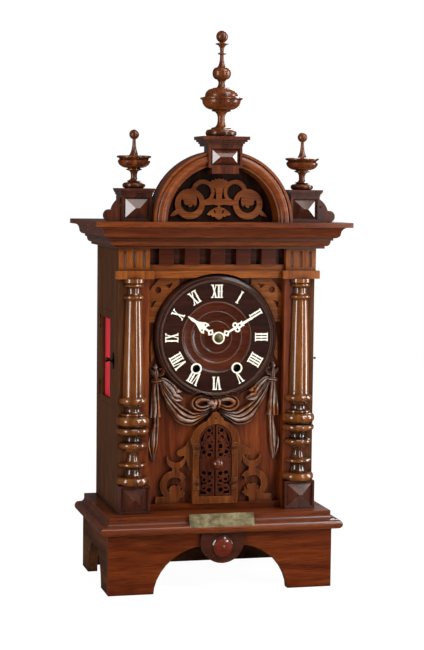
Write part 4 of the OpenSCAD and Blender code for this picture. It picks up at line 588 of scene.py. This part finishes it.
def lump(x, z, wide, tall, high, lobes, turn=0.0):
    """A lobed bud on the board: a half ellipsoid in mm. Its outline swells by 0.12 |cos(lobes a / 2)|,
    where a is the angle from turn, and shallow cuts between the lobes run up to its top. Gives the
    same two arrays as cloth."""
    rows, columns = 26, 60
    lift = np.linspace(0, math.pi / 2, rows)[:, None]
    angle = np.linspace(0, 2 * math.pi, columns, endpoint=False)[None, :]
    lobe = np.abs(np.cos(lobes * (angle - turn) / 2))
    reach = np.cos(lift) * (0.88 + 0.12 * lobe)
    stand = high * np.sin(lift) * (0.86 + 0.14 * lobe * np.cos(lift) + 0.14 * np.sin(lift) ** 4)
    points = np.stack([
        x + wide * reach * np.cos(angle), BOARD_Y - stand, z + tall * reach * np.sin(angle)], 2)
    # The lobes and the top count as crest, which the carving's finish paints as lit: painted highlight
    ridge = np.broadcast_to(lobe * 0.8 + 0.2 * np.sin(lift), points.shape[:2])
    under = points[:1].copy()
    under[..., 0], under[..., 2] = x, z
    return np.concatenate([under, points]), np.concatenate([0 * ridge[:1], ridge])


def carving(name, node, parts, mirrored=False):
    """One piece of carved work in place of a CAD node: the closed shells of its parts, in mm."""
    points = np.concatenate([shell.reshape(-1, 3) for shell, ridge in parts]) * MM
    if mirrored:
        points = points * (-1, 1, 1)
    starts = np.cumsum([0] + [ridge.size for shell, ridge in parts])
    faces = np.concatenate([start + grid_faces(ridge.shape, (False, True))
                            for start, (shell, ridge) in zip(starts, parts)])
    made = piece(name, points, faces, drapery_wood, node)
    ridges = np.concatenate([ridge.ravel() for shell, ridge in parts])
    made.data.attributes.new("ridge", "FLOAT", "POINT").data.foreach_set("value", ridges)
    seal(made.data)
    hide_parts(node)


# The left drapery: tails, gathered knot with its bud and curls, fringed ribbon with two petals, swag
# A part given a ridge floor has its crests painted paler all over: painted highlight where light falls
# on it
DRAPERY = [
    cloth([[-98.4, 336, 8, 12], [-99.2, 322, 12, 14], [-99.4, 305, 14.6, 15], [-99.2, 290, 18, 16],
           [-98.8, 278, 19.6, 15]], 2.5, 0.14, worn_and_lit=0.3),
    cloth([[-97.4, 288, 12, 9], [-97.6, 266, 9.4, 11], [-100.6, 249, 13.6, 12.5],
           [-102.6, 233, 18, 12.5], [-102.4, 217, 10.6, 10], [-101.4, 205, 2.6, 6]], 2.5, 0.3, worn_and_lit=0.2),
    cloth([[-98.6, 357, 6, 12], [-98.5, 351, 11, 15], [-98.3, 345, 9, 15], [-98, 338, 8, 14]], 3, 0.05),
    cloth([[-106.4, 336.5, 4, 11], [-102, 336.2, 9, 15.6], [-97.2, 336.1, 9.8, 16],
           [-92.4, 336.8, 8.8, 15.6], [-88.2, 338.2, 4, 11]], 2, 0.05),
    cloth([[-97, 346.5, 4, 12], [-91, 347.3, 4.6, 14.5], [-87.4, 350.5, 4.6, 15.5],
           [-87.6, 355, 4, 15.5], [-91.4, 356.4, 3.2, 14], [-93, 353.6, 2.2, 12]], 1, 0.05, across=24),
    cloth([[-100, 346.5, 5, 12], [-103.8, 349.6, 5, 14], [-106.6, 353.6, 3.6, 12.5],
           [-107.6, 357, 1.4, 9]], 1, 0.05, across=24),
    cloth([[-91, 341, 4, 10], [-85, 338, 10, 14], [-78, 331.6, 15, 17], [-71.4, 324, 18.6, 18],
           [-66, 317, 19, 15.5]], 2.4, 0.1, fringe=2.2, worn_and_lit=0.5),
    cloth([[-70.5, 322, 6, 15], [-64, 322.6, 10.4, 17.5], [-58.6, 321.6, 8.6, 15], [-53, 320, 1.6, 9]],
          0.8, 0.2, across=30, worn_and_lit=0.5),
    cloth([[-71, 315, 9, 15], [-65, 310.4, 14, 18], [-59.6, 307.8, 10.6, 15], [-53, 306, 1.8, 9]],
          1.2, 0.1, across=40, worn_and_lit=0.5),
    cloth([[-92.4, 334, 5, 10], [-87, 323, 9, 12], [-79, 309, 12.4, 14], [-67.6, 293.6, 18.6, 16],
           [-54.4, 280.4, 28, 17], [-40, 275, 25, 17], [-26.6, 278.4, 15.6, 15.5], [-15, 283.2, 8.6, 13],
           [-8.6, 286.4, 4, 10]], 3.5, 0.2, count=150, across=110),
    lump(-99, 359.6, 4.2, 5.6, 13, 4),
]
# The bow: a ribbon loop at each side that stands on its edge round a hollow, the knot, and a
# turned-over end
# The loop's ridge floor paints it a little paler: painted highlight
loop, loop_ridge = cloth([
    [-4, 301, 5, 14], [-13, 306, 9, 18.6], [-24, 307.4, 11.4, 21], [-33.2, 303.2, 11.8, 21.4],
    [-34.4, 296.6, 11, 20], [-28, 291.8, 9.8, 19], [-19.4, 291.4, 8.6, 18], [-10.6, 294.6, 6.6, 16],
    [-3.6, 298, 4.4, 13]], 1.4, 0.2, count=150, across=54, worn_and_lit=0.15)
BOW = [
    (loop, loop_ridge), (loop * (-1, 1, 1), loop_ridge), lump(-2.8, 298.8, 9.2, 10.4, 21.4, 3, 0.6),
    lump(6.2, 298.8, 4.6, 9, 19.6, 2, 1.2),
]
carving("drapery_carving_left", "drapery_left", DRAPERY)
carving("drapery_carving_right", "drapery_right", DRAPERY, True)
carving("bow_carving", "drapery_bow", BOW)


# The knob of a side door's turn button: (distance out, radius) in mm, from its root to its crown
KNOB = [(-0.6, 1.2), (0, 1.6), (0.1, 1.6), (1.2, 1.6), (1.7, 1.1), (2.2, 0.8), (6.4, 0.8), (7, 1.4),
        (8, 1.9), (9.2, 1.9), (10, 1.2), (10.4, 0.05)]


def latch_knob(side):
    """The turned iron knob on a side door's turn button: a stem with a collar and a round head, its
    profile revolved about the button's pin."""
    low, high = corners("side_latch_" + side)
    out = 1 if side == "right" else -1
    start = high[0] if side == "right" else low[0]
    centre = (low + high) / 2
    along, r = np.array(KNOB).T * MM
    turn = np.linspace(0, 2 * math.pi, 40, endpoint=False)
    points = np.stack([
        np.broadcast_to((start + out * along)[:, None], (len(r), len(turn))),
        centre[1] + r[:, None] * np.cos(turn * out), centre[2] + r[:, None] * np.sin(turn * out)], 2)
    made = surface("latch_knob_" + side, points, steel, "side_latch_" + side,
                   closed=(False, True))
    seal(made.data)


# The base board's thickness, how far the moulding's returns reach in from its outer edge, the gap that
# the rail leaves against both, and how far it stands in from the aprons' back
BASE_BOARD, RETURN, GAP, SETBACK = 14 * MM, 42.5 * MM, 0.05 * MM, 1.5 * MM


def base_rail():
    """The rail under the base board at the back, between the moulding's returns: its upright section,
    with a bead of 2 mm radius worked along its lower edge, is drawn along x."""
    high = corners("apron_returns")[1]
    moulding_end = corners("plinth_moulding")[1]
    back, foot = high[1] - SETBACK, high[2]
    rise = (moulding_end[2] - BASE_BOARD - GAP - foot) / MM
    half = moulding_end[0] - RETURN - GAP
    bead = np.linspace(-math.pi / 2, math.pi / 2, 9)
    # (y, z) in mm from the rail's outermost plane and the aprons' top
    section = np.concatenate([
        np.stack([-0.4 - 2 * (1 - np.cos(bead)), 2.1 + 2 * np.sin(bead)], 1),
        [(-2.4, 4.3), (-2.4, rise), (-12, rise), (-12, GAP / MM)]])
    x, y = np.meshgrid([-half, half], back + section[:, 0] * MM, indexing="ij")
    z = np.broadcast_to(foot + section[:, 1] * MM, x.shape)
    made = surface("base_rail", np.stack([x, y, z], 2), base_rail_wood, "apron_returns",
                   closed=(False, True))
    seal(made.data)
    made.data.polygons.foreach_set("use_smooth", np.zeros(len(made.data.polygons), bool))


latch_knob("left")
latch_knob("right")
base_rail()


# Studio

# The camera was fitted to about fifty points of the photo: place in metres, angles in radians
FOCAL_MM, TALL_SIDE_MM = 96.56, 36.0
EYE = (-0.69568, -2.79663, 0.65464)
YAW, PITCH, ROLL = 0.2464, 0.0802, 0.0109


def put(name, data, across, above, away, place):
    """An object turned so that its x, y and z lie along three directions, at a place."""
    made = bpy.data.objects.new(name, data)
    turned_to = np.eye(4)
    turned_to[:3] = np.stack([across, above, away, place], 1)
    made.matrix_world = Matrix(turned_to.tolist())
    bpy.context.scene.collection.objects.link(made)
    return made


def place_camera():
    """The camera looks along yaw and pitch, and its picture is turned by roll."""
    data = bpy.data.cameras.new("Camera")
    data.lens, data.sensor_width, data.sensor_fit = FOCAL_MM, TALL_SIDE_MM, "AUTO"
    data.clip_end = 60
    level = math.cos(PITCH)
    forward = np.array([math.sin(YAW) * level, math.cos(YAW) * level, -math.sin(PITCH)])
    right = np.array([math.cos(YAW), -math.sin(YAW), 0])
    up = np.cross(right, forward)
    across = right * math.cos(ROLL) + up * math.sin(ROLL)
    above = up * math.cos(ROLL) - right * math.sin(ROLL)
    bpy.context.scene.camera = put("Camera", data, across, above, -forward, EYE)


place_camera()


# How bright the paper and the air look in a reflection, so that dark polish keeps its depth
MIRRORED = 0.06
# How bright the air lights the clock, and what the paper shines with when it is seen straight
AIR, PAPER_GLOW, PAPER_SHARE = 0.14, 1.08, 0.9
WHITE = "#ffffff"


def paper_sweep():
    """A pale sheet that sweeps from the floor up behind the clock: z is 0 in front and rises as a
    quarter circle to a wall. Seen straight it is mostly its own glow, with a trace of the clock's
    shadow, and in a reflection it is dim."""
    made, tree = blank("Pale studio paper")
    matt = add(tree, "BsdfPrincipled", {"Base Color": "#f2f1ee", "Roughness": 0.9})
    glow = add(tree, "Emission", {"Color": WHITE, "Strength": PAPER_GLOW})
    dim = add(tree, "Emission", {"Color": WHITE, "Strength": MIRRORED})
    rays = add(tree, "LightPath").outputs
    straight = add(tree, "Math", {0: rays["Is Camera Ray"], 1: rays["Is Transmission Ray"]},
                   operation="MAXIMUM")
    share = add(tree, "Math", {0: straight, 1: PAPER_SHARE}, operation="MULTIPLY")
    lifted = add(tree, "MixShader", {"Fac": share, 1: matt, 2: glow})
    both = add(tree, "MixShader", {"Fac": rays["Is Glossy Ray"], 1: lifted, 2: dim})
    add(tree, "OutputMaterial", {"Surface": both})
    mesh = bpy.data.meshes.new("Studio paper")
    half, front, back, bend, top = 7.0, -7.0, 5.0, 1.5, 6.0
    arc = np.linspace(0, math.pi / 2, 12)
    y = np.concatenate([[front], back - bend + bend * np.sin(arc), [back]])
    z = np.concatenate([[0], bend - bend * np.cos(arc), [top]])
    points = np.array([[x, *row] for x in (-half, half) for row in zip(y, z)])
    n = len(y)
    mesh.from_pydata(points.tolist(), [], [(i, n + i, n + i + 1, i + 1) for i in range(n - 1)])
    mesh.materials.append(made)
    sheet = bpy.data.objects.new("studio_paper", mesh)
    bpy.context.scene.collection.objects.link(sheet)


def lamp(name, place, size, watts, aim=(0, 0, 0.45)):
    """A soft box of a given size in metres, turned to face aim."""
    data = bpy.data.lights.new(name, "AREA")
    data.shape, data.size, data.size_y, data.energy = "RECTANGLE", size[0], size[1], watts
    away = np.array(place, float) - np.array(aim, float)
    away /= np.linalg.norm(away)
    across = np.cross([0, 0, 1], away)
    across /= np.linalg.norm(across)
    put(name, data, across, np.cross(away, across), away, place)


def studio_air():
    """White air: full when seen straight, AIR when it lights the clock, MIRRORED in a reflection."""
    world = bpy.data.worlds.new("Studio air")
    world.use_nodes = True
    tree = world.node_tree
    tree.nodes.clear()
    rays = add(tree, "LightPath").outputs
    straight = add(tree, "Math", {0: rays["Is Camera Ray"], 1: rays["Is Transmission Ray"]},
                   operation="MAXIMUM")
    diffuse = add(tree, "MapRange", {"Value": straight, "To Min": AIR, "To Max": 1.0})
    strength = add(tree, "Mix", {"Factor": rays["Is Glossy Ray"], 2: diffuse, 3: MIRRORED},
                   data_type="FLOAT")
    air = add(tree, "Background", {"Color": WHITE, "Strength": strength})
    add(tree, "OutputWorld", {"Surface": air})
    bpy.context.scene.world = world


paper_sweep()
lamp("Left box", (-1.905, -1.1, 0.85), (0.6, 1.5), 27, (0, 0, 0.6))
lamp("Front strip", (1.03, -1.94, 0.85), (0.2, 1.5), 15, (0, 0, 0.6))
lamp("Right box", (2.17, -0.38, 0.85), (0.7, 1.5), 40, (0, 0, 0.6))
lamp("Key box", (1.4, -1.6, 2.3), (1.4, 1.2), 50)
lamp("Top box", (0.2, -1.2, 2.9), (1.4, 1.0), 12)
lamp("Back box", (1.3, 2.2, 1.9), (1.2, 1.2), 30)
studio_air()
bpy.context.scene.view_settings.view_transform = "Standard"
